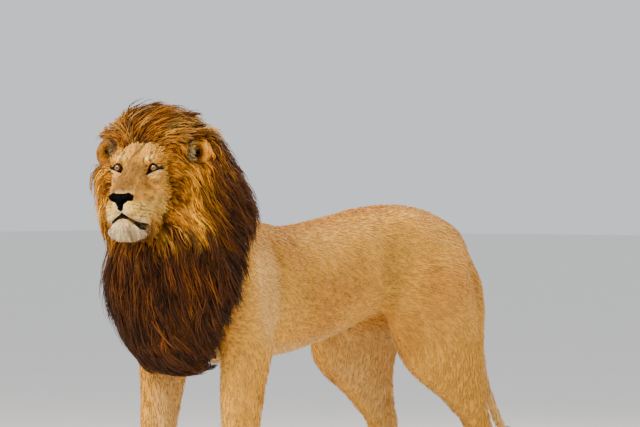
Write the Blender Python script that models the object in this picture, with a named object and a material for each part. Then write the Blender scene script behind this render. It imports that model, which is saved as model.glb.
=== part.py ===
"""A standing male lion at life size, as named solids: head, mane, trunk, legs and tail.

The lion faces -Y and its left side is +X.  The floor is z = 0.  Every solid reaches out to the
tips of the coat.  Lengths are in metres, angles in degrees.
"""
import math

import bmesh
import bpy
import numpy as np
from mathutils import Euler, Matrix, Vector

# ---------------------------------------------------------------- driving dimensions
GAP = 0.0004                      # clear space at each cut between neighbours
CORNER_STRETCH = 1.75             # a box's corner moves this much for its faces to move by one
BODY_VOXEL = 0.011                # grid on which the body's forms are fused
HEAD_VOXEL = 0.006                # finer grid for the face
MANE_VOXEL = 0.016                # coarser grid for the mane's bulk
NOSE_VOXEL = 0.004
BODY_TRIANGLES = 1560
HEAD_TRIANGLES = 1040
MANE_TRIANGLES = 560
NOSE_TRIANGLES = 84
SKULL_TRIANGLES = 420             # plainer copy of the head that shapes the mane's inner side
SKULL_ROOM = 0.006                # the mane's inner side stands this far off the head
FLESH_ROOM = 0.0010               # and this far off the neck, chest and shoulders
RING_SEGMENTS = 28                # points round a lofted ring
STEPS_BETWEEN = 5                 # rings made between two stations

# Head: placed by the point midway between the pupils
EYES_MIDDLE = Vector((0.070, -0.820, 1.185))
HEAD_TURN = 26.2                  # head turned to the lion's left
HEAD_LIFT = 3.5                   # nose raised
EYE_SPACING = 0.115               # pupil to pupil
EYE_RADIUS = 0.0190
EYE_BACK = 0.016                  # eyeball's middle behind the pupils' line

# Head, back to front: (forward of the eyes, top, bottom, half width)
CRANIUM = (
    (-0.245, 0.040, -0.110, 0.060),
    (-0.215, 0.082, -0.150, 0.098),
    (-0.160, 0.108, -0.172, 0.112),
    (-0.105, 0.108, -0.180, 0.104),
    (-0.060, 0.092, -0.174, 0.092),
    (-0.028, 0.066, -0.150, 0.081),
    (-0.006, 0.036, -0.100, 0.066),
)
BRIDGE = (
    (-0.070, 0.096, -0.060, 0.070),
    (-0.025, 0.064, -0.060, 0.050),
    (0.013, 0.026, -0.070, 0.038),
    (0.052, -0.006, -0.090, 0.036),
    (0.088, -0.031, -0.100, 0.039),
    (0.119, -0.057, -0.124, 0.041),
    (0.138, -0.085, -0.132, 0.032),
)
MUZZLE = (
    (-0.080, -0.010, -0.178, 0.094),
    (-0.030, -0.024, -0.172, 0.082),
    (0.009, -0.038, -0.167, 0.070),
    (0.044, -0.050, -0.164, 0.059),
    (0.078, -0.060, -0.162, 0.051),
    (0.108, -0.072, -0.158, 0.044),
    (0.130, -0.092, -0.146, 0.031),
)
HEAD_POWER = 2.35

# Lower jaw, back to front: (forward of the eyes, top, bottom, half width)
JAW = (
    (-0.140, -0.090, -0.170, 0.070),
    (-0.070, -0.100, -0.198, 0.076),
    (0.000, -0.110, -0.209, 0.066),
    (0.052, -0.130, -0.217, 0.054),
    (0.083, -0.142, -0.219, 0.046),
    (0.104, -0.154, -0.211, 0.033),
)

MOUTH_PLANE = (0.122, -0.149, -14.0)          # mouth line at the front: (forward, height, slope)
JAW_BACK = 0.100                              # lower jaw's length behind the lip

# Soft forms of the face: name: (forward, side, height), (half length, half width, half height)
FACE_FORMS = {
    "whisker_pad": ((0.086, 0.031, -0.131), (0.051, 0.027, 0.038)),
    "lip": ((0.040, 0.042, -0.142), (0.056, 0.028, 0.044)),
    "brow": ((-0.028, 0.050, 0.027), (0.034, 0.034, 0.021)),
    "under_eye": ((-0.022, 0.056, -0.028), (0.030, 0.024, 0.020)),
    "cheek": ((-0.066, 0.058, -0.064), (0.066, 0.035, 0.062)),
    "temple": ((-0.105, 0.058, 0.042), (0.070, 0.038, 0.044)),
    "chin": ((0.077, 0.014, -0.190), (0.034, 0.037, 0.030)),
}
NOSE_FORMS = (
    ((0.127, 0.021, -0.0960), (0.017, 0.019, 0.013)),
    ((0.128, -0.021, -0.0960), (0.017, 0.019, 0.013)),
    ((0.131, 0.000, -0.1020), (0.017, 0.022, 0.016)),
    ((0.131, 0.000, -0.1200), (0.013, 0.010, 0.018)),
)
EAR_CENTRE = (-0.190, 0.137, 0.056)           # forward, side, height from the eyes
EAR_RADII = (0.032, 0.051, 0.047)             # depth of the cup, half width, half height
EAR_WALL = 0.008
EAR_ROOM = 0.006                              # free room round an ear in the mane
EAR_OUTWARD = 32.0                            # the cup faces forward and this far outward
EAR_TILT = 14.0                               # leaning out from the upright
EAR_HOLLOW = (0.75, 1.30)                     # hollow's place and half depth, as shares of the cup's depth
EAR_OPENING = 0.35                            # the cup is cut off this share of its depth ahead
EAR_ROOM_BACK = (0.2, 1.2)                    # the room's place and half depth, as such shares
# Hollow in the mane ahead of an ear: (forward, side, height), (half length, half width, half height)
EAR_HOLLOW_AHEAD = ((-0.122, 0.158, 0.046), (0.070, 0.040, 0.042))

# Trunk, rump to chest: (y, height of back, height of belly, half width)
TRUNK = (
    (0.750, 0.930, 0.800, 0.040),
    (0.715, 0.985, 0.740, 0.098),
    (0.612, 1.040, 0.700, 0.150),
    (0.460, 1.073, 0.715, 0.168),
    (0.255, 1.060, 0.694, 0.158),
    (0.060, 1.025, 0.640, 0.176),
    (-0.110, 1.008, 0.602, 0.192),
    (-0.290, 1.035, 0.580, 0.192),
    (-0.440, 1.095, 0.585, 0.170),
    (-0.570, 1.075, 0.640, 0.132),
    (-0.650, 0.990, 0.740, 0.080),
)
TRUNK_POWER = 2.25                # 2 is an ellipse, more is boxier

# Neck, chest to head: (x, y, z, half width, half depth)
NECK = (
    (0.000, -0.400, 0.900, 0.135, 0.190),
    (-0.002, -0.500, 0.970, 0.138, 0.190),
    (-0.008, -0.590, 1.060, 0.130, 0.165),
    (-0.004, -0.655, 1.125, 0.118, 0.140),
    (0.016, -0.700, 1.150, 0.108, 0.125),
)
NECK_PLANE = -0.185               # skull and neck part here, forward of the eyes
CHEST_PLANE = (-0.560, 1.010, 45.0)           # neck and chest part here: (y, z, slope)
CHEST_END = -0.200                # chest and barrel part at this y
BARREL_END = 0.270                # barrel and rump part at this y

# Legs standing square, top to bottom: (side, y, z, half width, half length fore and aft)
FORELEG = (
    (0.095, -0.400, 1.020, 0.050, 0.090),
    (0.126, -0.462, 0.880, 0.068, 0.106),
    (0.146, -0.462, 0.770, 0.070, 0.114),
    (0.155, -0.430, 0.660, 0.066, 0.106),
    (0.153, -0.430, 0.560, 0.063, 0.092),
    (0.149, -0.440, 0.420, 0.057, 0.072),
    (0.146, -0.450, 0.270, 0.052, 0.060),
    (0.146, -0.460, 0.170, 0.053, 0.056),
    (0.148, -0.480, 0.085, 0.057, 0.057),
)
HINDLEG = (
    (0.085, 0.525, 0.940, 0.080, 0.155),
    (0.115, 0.487, 0.830, 0.088, 0.229),
    (0.135, 0.468, 0.730, 0.085, 0.235),
    (0.148, 0.456, 0.630, 0.076, 0.216),
    (0.150, 0.472, 0.535, 0.063, 0.182),
    (0.148, 0.555, 0.435, 0.048, 0.106),
    (0.146, 0.618, 0.340, 0.041, 0.064),
    (0.146, 0.617, 0.215, 0.042, 0.048),
    (0.147, 0.594, 0.085, 0.050, 0.050),
)
STRIDES = {"foreleg_left": 0.00, "foreleg_right": -0.09, "hindleg_left": 0.13, "hindleg_right": -0.10}
PAW_LENGTHS = {"fore": 0.190, "hind": 0.172}
PAW_WIDTHS = {"fore": 0.138, "hind": 0.118}
PAW_HEIGHT = 0.095
HEEL_BACK = 0.28                  # heel behind the ankle, as a share of the paw's length
PALM = (0.42, 0.47, 0.55, 0.46)   # half length, half width, half height, middle: shares of the paw's size
TOE = (0.22, 0.15, 0.40, 0.33)    # the same shares for one toe
TOES = 4
TOE_REACH = 0.80                  # middle toes ahead of the heel, as a share of the paw's length
TOE_FALL_BACK = 0.90              # how much the outer toes fall back from the middle ones
# A leg parts from the trunk along a slope: (inner side, height there, height at the outside)
LEG_SLOPES = {"fore": (0.040, 0.600, 0.830), "hind": (0.028, 0.700, 0.960)}
LEG_REACH = {"fore": (0.170, 0.120), "hind": (0.165, 0.330)}   # cut fore and aft of the leg's middle
FOOT_ROOM = 0.300                 # lower legs and paws reach this much further fore and aft
LEG_STATION = 3                   # the leg's middle is taken at this station
KNEE_HEIGHTS = {"fore": 0.420, "hind": 0.545}
ANKLE_HEIGHT = 0.110

# Tail and its tuft, root to tip: (x, y, z, radius)
TAIL = (
    (0.000, 0.700, 0.965, 0.034),
    (0.002, 0.765, 0.900, 0.029),
    (0.006, 0.815, 0.790, 0.025),
    (0.012, 0.846, 0.660, 0.022),
    (0.020, 0.872, 0.520, 0.020),
    (0.030, 0.908, 0.400, 0.018),
    (0.040, 0.958, 0.310, 0.019),
    (0.045, 0.998, 0.265, 0.036),
    (0.052, 1.043, 0.232, 0.046),
    (0.060, 1.093, 0.212, 0.036),
    (0.066, 1.133, 0.206, 0.006),
)
TAIL_CUTS = {"tail_root": (0, 2), "tail_middle": (2, 4), "tail_end": (4, 6), "tail_tuft": (6, 10)}
TAIL_SEGMENTS = 10
TAIL_STEPS = 3

# Mane round the face, in the head's own directions: (forward, half width, up, down)
RUFF = (
    (-0.062, 0.098, 0.108, 0.200),
    (-0.088, 0.138, 0.152, 0.250),
    (-0.128, 0.168, 0.190, 0.305),
    (-0.190, 0.180, 0.198, 0.350),
)
RUFF_POWER = 1.95
# Mane over neck and shoulders: (x, y, z, turn, half width, up, down)
MANTLE = (
    (0.006, -0.610, 1.110, 14.0, 0.194, 0.264, 0.380),
    (0.000, -0.530, 1.060, 6.0, 0.206, 0.276, 0.400),
    (0.000, -0.455, 1.020, 0.0, 0.202, 0.232, 0.350),
    (0.000, -0.380, 1.000, 0.0, 0.160, 0.165, 0.200),
    (0.000, -0.300, 1.010, 0.0, 0.090, 0.090, 0.080),
    (0.000, -0.235, 1.020, 0.0, 0.030, 0.035, 0.030),
)
# Mane on the left of the neck, throat, chest and brisket: (centre), (half sizes)
BIB = (
    ((0.085, -0.560, 1.105), (0.100, 0.120, 0.190)),
    ((0.040, -0.650, 0.950), (0.172, 0.150, 0.140)),
    ((0.010, -0.570, 0.835), (0.228, 0.214, 0.225)),
    ((0.006, -0.553, 0.705), (0.178, 0.186, 0.155)),
)
CROWN_LEVEL = 0.050               # crown and cheeks of the mane part here, above the eyes
CROWN_BACK = -0.260               # crown and nape part here, forward of the eyes
BIB_LEVEL = 0.930                 # throat and chest of the mane part at this height

HEAD_REACH = 0.400                # knives for head, neck and legs reach this far to each side
NECK_REACH = (0.600, 0.500)       # the neck's knife: how far forward, how far up and down
BODY_LOW = Vector((-0.500, -1.200, 0.200))    # corners of a box that holds the trunk and the mane
BODY_HIGH = Vector((0.500, 1.200, 1.500))
FLOOR_LOW = Vector((-1.000, -2.000, -1.000))
FLOOR_HIGH = Vector((1.000, 2.000, 0.000))
JAW_REACH = 0.200                 # the jaw's knife: how far forward, down and to each side
BELOW_FLOOR = 0.100               # leg knives start this far under the soles
ROUND_SEGMENTS = (24, 16)         # facets round and along a form that is melted into a body
TOE_SEGMENTS = (16, 10)
SMALL_SEGMENTS = (12, 8)          # facets of eyes and ears
SHARP_EDGE = 50.0                 # edges sharper than this stay crisp

# ---------------------------------------------------------------- colours: (red, green, blue), roughness
COATS = {
    "sand": ((0.560, 0.352, 0.155), 0.85),
    "cream": ((0.760, 0.600, 0.420), 0.85),
    "gold": ((0.480, 0.230, 0.050), 0.80),
    "umber": ((0.070, 0.032, 0.012), 0.80),
    "eye": ((0.420, 0.210, 0.040), 0.10),
    "leather": ((0.012, 0.009, 0.009), 0.45),
}


# ---------------------------------------------------------------- tools for the shapes
def clear_scene():
    """Remove every object that the scene starts with."""
    for item in list(bpy.data.objects):
        bpy.data.objects.remove(item, do_unlink=True)


def smooth_rows(rows, steps=STEPS_BETWEEN):
    """Run a smooth curve through each column of a table of stations."""
    table = np.array(rows, dtype=float)
    padded = np.vstack([2 * table[0] - table[1], table, 2 * table[-1] - table[-2]])
    out = []
    for i in range(1, len(padded) - 2):
        p0, p1, p2, p3 = padded[i - 1:i + 3]
        for k in range(steps):
            t = k / steps
            out.append(0.5 * (2 * p1 + (p2 - p0) * t + (2 * p0 - 5 * p1 + 4 * p2 - p3) * t ** 2
                              + (3 * p1 - p0 - 3 * p2 + p3) * t ** 3))
    out.append(padded[-2])
    return [tuple(float(v) for v in row) for row in out]


def oval(centre, side, upward, half_width, up, down, power=2.0, segments=RING_SEGMENTS):
    """Points of one ring: an oval that may reach further up than down."""
    points = []
    for k in range(segments):
        angle = 2 * math.pi * k / segments
        c, s = math.cos(angle), math.sin(angle)
        across = half_width * math.copysign(abs(c) ** (2 / power), c)
        rise = (up if s > 0 else down) * math.copysign(abs(s) ** (2 / power), s)
        points.append(centre + side * across + upward * rise)
    return points


def loft(name, rings):
    """A closed skin over rings of points, with flat ends."""
    bm = bmesh.new()
    loops = [[bm.verts.new(p) for p in ring] for ring in rings]
    count = len(loops[0])
    for a, b in zip(loops, loops[1:]):
        for k in range(count):
            bm.faces.new((a[k], a[(k + 1) % count], b[(k + 1) % count], b[k]))
    bm.faces.new(list(reversed(loops[0])))
    bm.faces.new(loops[-1])
    bmesh.ops.recalc_face_normals(bm, faces=bm.faces)
    return as_object(name, bm)


def as_object(name, bm):
    """Turn a bmesh into an object in the scene."""
    mesh = bpy.data.meshes.new(name)
    bm.to_mesh(mesh)
    bm.free()
    item = bpy.data.objects.new(name, mesh)
    bpy.context.scene.collection.objects.link(item)
    return item


def ellipsoid(name, matrix, radii, segments=ROUND_SEGMENTS):
    """A stretched ball placed by a matrix."""
    bm = bmesh.new()
    bmesh.ops.create_uvsphere(bm, u_segments=segments[0], v_segments=segments[1], radius=1.0)
    bm.transform(matrix @ Matrix.Diagonal((*radii, 1.0)))
    return as_object(name, bm)


def block(name, matrix, low, high):
    """A box between two corners, placed by a matrix."""
    bm = bmesh.new()
    bmesh.ops.create_cube(bm, size=1.0)
    size = Vector(high) - Vector(low)
    middle = (Vector(high) + Vector(low)) / 2
    bm.transform(matrix @ Matrix.Translation(middle) @ Matrix.Diagonal((*size, 1.0)))
    return as_object(name, bm)


def apply_modifiers(item):
    """Make an object's modifiers part of its mesh."""
    graph = bpy.context.evaluated_depsgraph_get()
    mesh = bpy.data.meshes.new_from_object(item.evaluated_get(graph))
    item.modifiers.clear()
    item.data = mesh


def fuse(name, forms, voxel, triangles, softening=6):
    """Melt overlapping forms into one body, then thin it to a number of triangles."""
    bm = bmesh.new()
    for form in forms:
        bm.from_mesh(form.data)
        bpy.data.objects.remove(form, do_unlink=True)
    body = as_object(name, bm)
    melt = body.modifiers.new("melt", "REMESH")
    melt.mode = "VOXEL"
    melt.voxel_size = voxel
    soften = body.modifiers.new("soften", "SMOOTH")
    soften.factor = 0.5
    soften.iterations = softening
    apply_modifiers(body)
    thin_out(body, triangles)
    return body


def thin_out(item, triangles):
    """Collapse edges until about this many triangles are left."""
    count = sum(len(face.vertices) - 2 for face in item.data.polygons)
    thin = item.modifiers.new("thin", "DECIMATE")
    thin.ratio = min(1.0, triangles / count)
    thin.use_collapse_triangulate = True
    apply_modifiers(item)


def thinned(item, triangles):
    """A plainer copy of an object."""
    twin = copy_of(item, item.name + "_plain")
    thin_out(twin, triangles)
    return twin


def copy_of(item, name):
    """A separate copy of an object with its own mesh."""
    twin = bpy.data.objects.new(name, item.data.copy())
    bpy.context.scene.collection.objects.link(twin)
    return twin


def combine(item, cutter, operation):
    """Boolean one object with another, and leave the other in place."""
    step = item.modifiers.new("cut", "BOOLEAN")
    step.operation = operation
    step.object = cutter
    step.solver = "EXACT"
    apply_modifiers(item)


def keep_largest(item):
    """Drop loose crumbs, keeping the part with the most volume."""
    bm = bmesh.new()
    bm.from_mesh(item.data)
    bmesh.ops.triangulate(bm, faces=bm.faces)
    left = set(bm.faces)
    groups = []
    while left:
        stack = [left.pop()]
        group = []
        while stack:
            face = stack.pop()
            group.append(face)
            for edge in face.edges:
                for other in edge.link_faces:
                    if other in left:
                        left.remove(other)
                        stack.append(other)
        groups.append(group)
    groups.sort(key=lambda faces: -sum(f.calc_area() for f in faces))
    for group in groups[1:]:
        bmesh.ops.delete(bm, geom=group, context="FACES")
    loose = [v for v in bm.verts if not v.link_faces]
    bmesh.ops.delete(bm, geom=loose, context="VERTS")
    bm.to_mesh(item.data)
    bm.free()


def grown(item, amount=GAP):
    """A copy pushed outward along its normals."""
    twin = copy_of(item, item.name + "_grown")
    push = twin.modifiers.new("push", "DISPLACE")
    push.strength = amount
    push.mid_level = 0.0
    apply_modifiers(twin)
    return twin


def keep_clear(item, neighbour, amount=GAP):
    """Cut an object back until it stands clear of its neighbour."""
    cutter = grown(neighbour, amount)
    combine(item, cutter, "DIFFERENCE")
    bpy.data.objects.remove(cutter, do_unlink=True)


def part_off(source, name, knife):
    """Take the part of the source inside a knife's body as a new object, and leave a thin cut."""
    piece = copy_of(source, name)
    combine(piece, knife, "INTERSECT")
    keep_clear(source, knife, GAP * CORNER_STRETCH)
    bpy.data.objects.remove(knife, do_unlink=True)
    keep_largest(piece)
    keep_largest(source)
    return piece


# ---------------------------------------------------------------- the lion's own parts
def head_matrix():
    """From the head's own directions (x side, -y forward, z up) to the world."""
    turn = Euler((math.radians(-HEAD_LIFT), 0.0, 0.0)).to_matrix()
    yaw = Matrix.Rotation(math.radians(HEAD_TURN), 3, "Z")
    return Matrix.Translation(EYES_MIDDLE) @ (yaw @ turn).to_4x4()


def in_head(forward, side, height):
    """A matrix at a point given in the head's own directions."""
    return head_matrix() @ Matrix.Translation((side, -forward, height))


def head_loft(name, rows, power):
    """Loft stations that run from the back of the head to the front."""
    frame = head_matrix()
    side = (frame.to_3x3() @ Vector((1, 0, 0))).normalized()
    upward = (frame.to_3x3() @ Vector((0, 0, 1))).normalized()
    rings = []
    for forward, top, bottom, half_width in smooth_rows(rows):
        centre = frame @ Vector((0, -forward, (top + bottom) / 2))
        half_height = (top - bottom) / 2
        rings.append(oval(centre, side, upward, half_width, half_height, half_height, power))
    return loft(name, rings)


def make_head():
    """Skull, muzzle, cheeks and chin in one body."""
    forms = [head_loft("form", rows, HEAD_POWER) for rows in (CRANIUM, BRIDGE, MUZZLE, JAW)]
    for name, (place, radii) in FACE_FORMS.items():
        for sign in (1, -1):
            spot = in_head(place[0], sign * place[1], place[2])
            forms.append(ellipsoid(name, spot, (radii[1], radii[0], radii[2])))
    return fuse("head", forms, HEAD_VOXEL, HEAD_TRIANGLES, softening=5)


def make_nose():
    """The nose leather."""
    forms = []
    for place, radii in NOSE_FORMS:
        forms.append(ellipsoid("lobe", in_head(*place), (radii[1], radii[0], radii[2])))
    return fuse("nose", forms, NOSE_VOXEL, NOSE_TRIANGLES, softening=3)


def make_eye(side_name, sign):
    """An eyeball, seated behind the line of the pupils."""
    spot = in_head(-EYE_BACK, sign * EYE_SPACING / 2, 0.0)
    return ellipsoid("eye_" + side_name, spot, (EYE_RADIUS,) * 3, SMALL_SEGMENTS)


def ear_matrix(sign):
    """Where an ear's cup stands: its front faces -y of this matrix."""
    forward, side, height = EAR_CENTRE
    spot = in_head(forward, sign * side, height)
    spot = spot @ Matrix.Rotation(math.radians(sign * EAR_OUTWARD), 4, "Z")
    return spot @ Matrix.Rotation(math.radians(sign * EAR_TILT), 4, "Y")


def make_ear(side_name, sign):
    """A cupped ear, open to the front and turned outward."""
    depth, half_width, half_height = EAR_RADII
    spot = ear_matrix(sign)
    ear = ellipsoid("ear_" + side_name, spot, (half_width, depth, half_height), SMALL_SEGMENTS)
    ahead, half_depth = (share * depth for share in EAR_HOLLOW)
    radii = (half_width - EAR_WALL, half_depth, half_height - EAR_WALL)
    hollow = ellipsoid("hollow", spot @ Matrix.Translation((0, -ahead, 0)), radii, SMALL_SEGMENTS)
    combine(ear, hollow, "DIFFERENCE")
    bpy.data.objects.remove(hollow, do_unlink=True)
    past = 2 * half_height
    front = block("front", spot, (-past, -past, -past), (past, -depth * EAR_OPENING, past))
    combine(ear, front, "DIFFERENCE")
    bpy.data.objects.remove(front, do_unlink=True)
    keep_largest(ear)
    return ear


def ear_room(sign):
    """The room that an ear takes up in the mane."""
    depth, half_width, half_height = EAR_RADII
    ahead, half_depth = (share * depth for share in EAR_ROOM_BACK)
    spot = ear_matrix(sign) @ Matrix.Translation((0, -ahead, 0))
    radii = (half_width + EAR_ROOM, half_depth + EAR_ROOM, half_height + EAR_ROOM)
    return ellipsoid("room", spot, radii, SMALL_SEGMENTS)


def ear_view(sign):
    """The hollow in the mane that leaves an ear in sight from ahead."""
    (forward, side, height), (half_length, half_width, half_up) = EAR_HOLLOW_AHEAD
    spot = in_head(forward, sign * side, height)
    return ellipsoid("view", spot, (half_width, half_length, half_up), SMALL_SEGMENTS)


def make_trunk():
    """Barrel of the body from rump to chest."""
    side, upward = Vector((1, 0, 0)), Vector((0, 0, 1))
    rings = []
    for y, back, belly, half_width in smooth_rows(TRUNK):
        centre = Vector((0, y, (back + belly) / 2))
        half_height = (back - belly) / 2
        rings.append(oval(centre, side, upward, half_width, half_height, half_height, TRUNK_POWER))
    return loft("trunk", rings)


def tube(name, rows, segments=RING_SEGMENTS, side=Vector((1, 0, 0))):
    """A limb or tail along a smooth path: rows of (x, y, z, half width, half depth)."""
    stations = smooth_rows(rows)
    points = [Vector(row[:3]) for row in stations]
    rings = []
    for i, row in enumerate(stations):
        ahead = points[min(i + 1, len(points) - 1)]
        behind = points[max(i - 1, 0)]
        along = (ahead - behind).normalized()
        upward = along.cross(side).normalized()
        across = upward.cross(along).normalized()
        half_width, half_depth = row[3], row[-1]
        rings.append(oval(points[i], across, upward, half_width, half_depth, half_depth, 2.0, segments))
    return loft(name, rings)


def leg_loft(name, rows):
    """A leg over level rings: rows of (x, y, z, half width, half length fore and aft)."""
    side, forward = Vector((1, 0, 0)), Vector((0, -1, 0))
    rings = []
    for x, y, z, half_width, half_length in smooth_rows(rows):
        rings.append(oval(Vector((x, y, z)), side, forward, half_width, half_length, half_length))
    return loft(name, rings)


def stepped(row, stride, top, sign):
    """Move a leg's station fore or aft, more the lower it is."""
    side, y, z, half_width, half_length = row
    return (sign * side, y + stride * (top - z) / top, z, half_width, half_length)


def paw_form(x, y, length, width, shares, segments):
    """A palm or a toe: a ball whose sizes are shares of the paw's own."""
    half_length, half_width, half_height, middle = shares
    radii = (width * half_width, length * half_length, PAW_HEIGHT * half_height)
    return ellipsoid("pad", Matrix.Translation((x, y, PAW_HEIGHT * middle)), radii, segments)


def make_leg(name):
    """One leg and its paw, as overlapping forms."""
    sign = 1 if name.endswith("left") else -1
    kind = "fore" if name.startswith("fore") else "hind"
    table = FORELEG if kind == "fore" else HINDLEG
    rows = [stepped(row, STRIDES[name], table[0][2], sign) for row in table]
    forms = [leg_loft(name, rows)]
    x, y, z = rows[-1][:3]
    length, width = PAW_LENGTHS[kind], PAW_WIDTHS[kind]
    heel = y + length * HEEL_BACK
    forms.append(paw_form(x, heel - length * PALM[0], length, width, PALM, ROUND_SEGMENTS))
    for k in range(TOES):
        spread = (k + 0.5) / TOES - 0.5
        reach = length * (TOE_REACH - TOE_FALL_BACK * spread ** 2)
        forms.append(paw_form(x + spread * width, heel - reach, length, width, TOE, TOE_SEGMENTS))
    return forms


def make_body():
    """Trunk, neck and legs in one body with flat soles."""
    forms = [make_trunk(), tube("neck", NECK)]
    for name in STRIDES:
        forms += make_leg(name)
    body = fuse("body", forms, BODY_VOXEL, BODY_TRIANGLES)
    floor = world_block(FLOOR_LOW, FLOOR_HIGH)
    combine(body, floor, "DIFFERENCE")
    bpy.data.objects.remove(floor, do_unlink=True)
    keep_largest(body)
    return body


def mane_forms():
    """The mane's bulk: ruff, mantle and bib, as overlapping forms."""
    frame = head_matrix()
    upward = Vector((0, 0, 1))
    rows = []
    for forward, half_width, up, down in RUFF:
        place = frame @ Vector((0, -forward, 0))
        rows.append((*place, HEAD_TURN, half_width, up, down))
    rings = []
    for x, y, z, turn, half_width, up, down in smooth_rows(rows + list(MANTLE)):
        side = Matrix.Rotation(math.radians(turn), 3, "Z") @ Vector((1, 0, 0))
        rings.append(oval(Vector((x, y, z)), side, upward, half_width, up, down, RUFF_POWER))
    forms = [loft("mantle", rings)]
    for place, radii in BIB:
        forms.append(ellipsoid("bib", Matrix.Translation(place), radii))
    return forms


def finish(item, coat):
    """Give an object its own material and shade it smooth."""
    (red, green, blue), roughness = COATS[coat]
    material = bpy.data.materials.new(item.name)
    material.use_nodes = True
    shader = material.node_tree.nodes["Principled BSDF"]
    shader.inputs["Base Color"].default_value = (red, green, blue, 1.0)
    shader.inputs["Roughness"].default_value = roughness
    shader.inputs["Metallic"].default_value = 0.0
    item.data.materials.clear()
    item.data.materials.append(material)
    item.data.shade_smooth()
    item.data.set_sharp_from_angle(angle=math.radians(SHARP_EDGE))


def wedge(name, outline, low_y, high_y):
    """A prism: an outline of (x, z) corners drawn out along y."""
    rings = [[Vector((x, y, z)) for x, z in outline] for y in (low_y, high_y)]
    return loft(name, rings)


def world_block(low, high):
    """A box between two corners in the world's directions."""
    return block("knife", Matrix.Identity(4), low, high)


def part_legs(body):
    """Part each leg from the trunk, then the leg at its knee and ankle."""
    pieces = []
    for name, stride in STRIDES.items():
        sign = 1 if name.endswith("left") else -1
        side_name = name.split("_")[1]
        kind = "fore" if name.startswith("fore") else "hind"
        table = FORELEG if kind == "fore" else HINDLEG
        inner, inner_top, outer_top = LEG_SLOPES[kind]
        middle = stepped(table[LEG_STATION], stride, table[0][2], sign)[1]
        front, back = LEG_REACH[kind]
        near, far = sign * inner, sign * HEAD_REACH
        outline = [(near, -BELOW_FLOOR), (far, -BELOW_FLOOR), (far, outer_top), (near, inner_top)]
        knife = wedge("knife", outline, middle - front, middle + back)
        low = Vector((min(near, far), middle - front - FOOT_ROOM, -BELOW_FLOOR))
        high = Vector((max(near, far), middle + back + FOOT_ROOM, KNEE_HEIGHTS[kind]))
        lower_knife = world_block(low, high)
        paw_knife = world_block(low, Vector((high.x, high.y, ANKLE_HEIGHT)))
        pieces.append(part_off(body, f"{kind}paw_{side_name}", paw_knife))
        pieces.append(part_off(body, f"{kind}leg_{side_name}_lower", lower_knife))
        upper = "upper_arm" if kind == "fore" else "thigh"
        pieces.append(part_off(body, f"{upper}_{side_name}", knife))
    return pieces


def part_trunk(body):
    """Part the neck, chest and rump from the barrel, which is what is left."""
    r = HEAD_REACH
    behind = block("knife", head_matrix(), (-r, -r, -r), (r, -NECK_PLANE, r))
    keep_clear(body, behind, GAP)
    bpy.data.objects.remove(behind, do_unlink=True)
    keep_largest(body)
    y, z, slope = CHEST_PLANE
    tilt = Matrix.Translation((0, y, z)) @ Matrix.Rotation(math.radians(-slope), 4, "X")
    forward, upward = NECK_REACH
    neck_knife = block("knife", tilt, (-r, -forward, -upward), (r, 0.0, upward))
    neck = part_off(body, "neck", neck_knife)
    chest = part_off(body, "chest", world_block(BODY_LOW, (BODY_HIGH.x, CHEST_END, BODY_HIGH.z)))
    rump = part_off(body, "rump", world_block((BODY_LOW.x, BARREL_END, BODY_LOW.z), BODY_HIGH))
    body.name = "barrel"
    return [neck, chest, body, rump]


def part_head(head):
    """Cut the skull off at the neck and part the lower jaw along the mouth."""
    r = HEAD_REACH
    behind = block("knife", head_matrix(), (-r, -NECK_PLANE, -r), (r, r, r))
    combine(head, behind, "DIFFERENCE")
    bpy.data.objects.remove(behind, do_unlink=True)
    keep_largest(head)
    forward, height, slope = MOUTH_PLANE
    tilt = in_head(forward, 0.0, height) @ Matrix.Rotation(math.radians(slope), 4, "X")
    r = JAW_REACH
    jaw = part_off(head, "lower_jaw", block("knife", tilt, (-r, -r, -r), (r, JAW_BACK, 0.0)))
    return [head, jaw]


def part_mane(mane):
    """Part the mane into crown, two sides and bib."""
    r = HEAD_REACH
    crown_knife = block("knife", head_matrix(), (-r, -r, CROWN_LEVEL), (r, -CROWN_BACK, r))
    crown = part_off(mane, "mane_crown", crown_knife)
    bib = part_off(mane, "mane_bib", world_block(BODY_LOW, (BODY_HIGH.x, BODY_HIGH.y, BIB_LEVEL)))
    left = part_off(mane, "mane_left", world_block((0.0, BODY_LOW.y, BODY_LOW.z), BODY_HIGH))
    mane.name = "mane_right"
    return [crown, bib, left, mane]


def make_tail():
    """The tail in three lengths and its tuft, each a tapered tube."""
    stations = smooth_rows(TAIL, TAIL_STEPS)
    points = [Vector(row[:3]) for row in stations]
    side = Vector((1, 0, 0))
    rings = []
    drawn_back = []
    for i, row in enumerate(stations):
        along = (points[min(i + 1, len(points) - 1)] - points[max(i - 1, 0)]).normalized()
        upward = along.cross(side).normalized()
        across = upward.cross(along)
        rings.append(oval(points[i], across, upward, row[3], row[3], row[3], 2.0, TAIL_SEGMENTS))
        nearer = points[i] - along * GAP
        drawn_back.append(oval(nearer, across, upward, row[3], row[3], row[3], 2.0, TAIL_SEGMENTS))
    pieces = []
    for name, (first, last) in TAIL_CUTS.items():
        first, last = first * TAIL_STEPS, last * TAIL_STEPS
        pieces.append(loft(name, rings[first:last] + [drawn_back[last]]))
    return pieces


def stand_on_origin(items):
    """Move everything so that the middle of its footprint is the origin."""
    corners = [vertex.co for item in items for vertex in item.data.vertices]
    middle_x = (min(c.x for c in corners) + max(c.x for c in corners)) / 2
    middle_y = (min(c.y for c in corners) + max(c.y for c in corners)) / 2
    for item in items:
        item.data.transform(Matrix.Translation((-middle_x, -middle_y, 0.0)))


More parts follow.
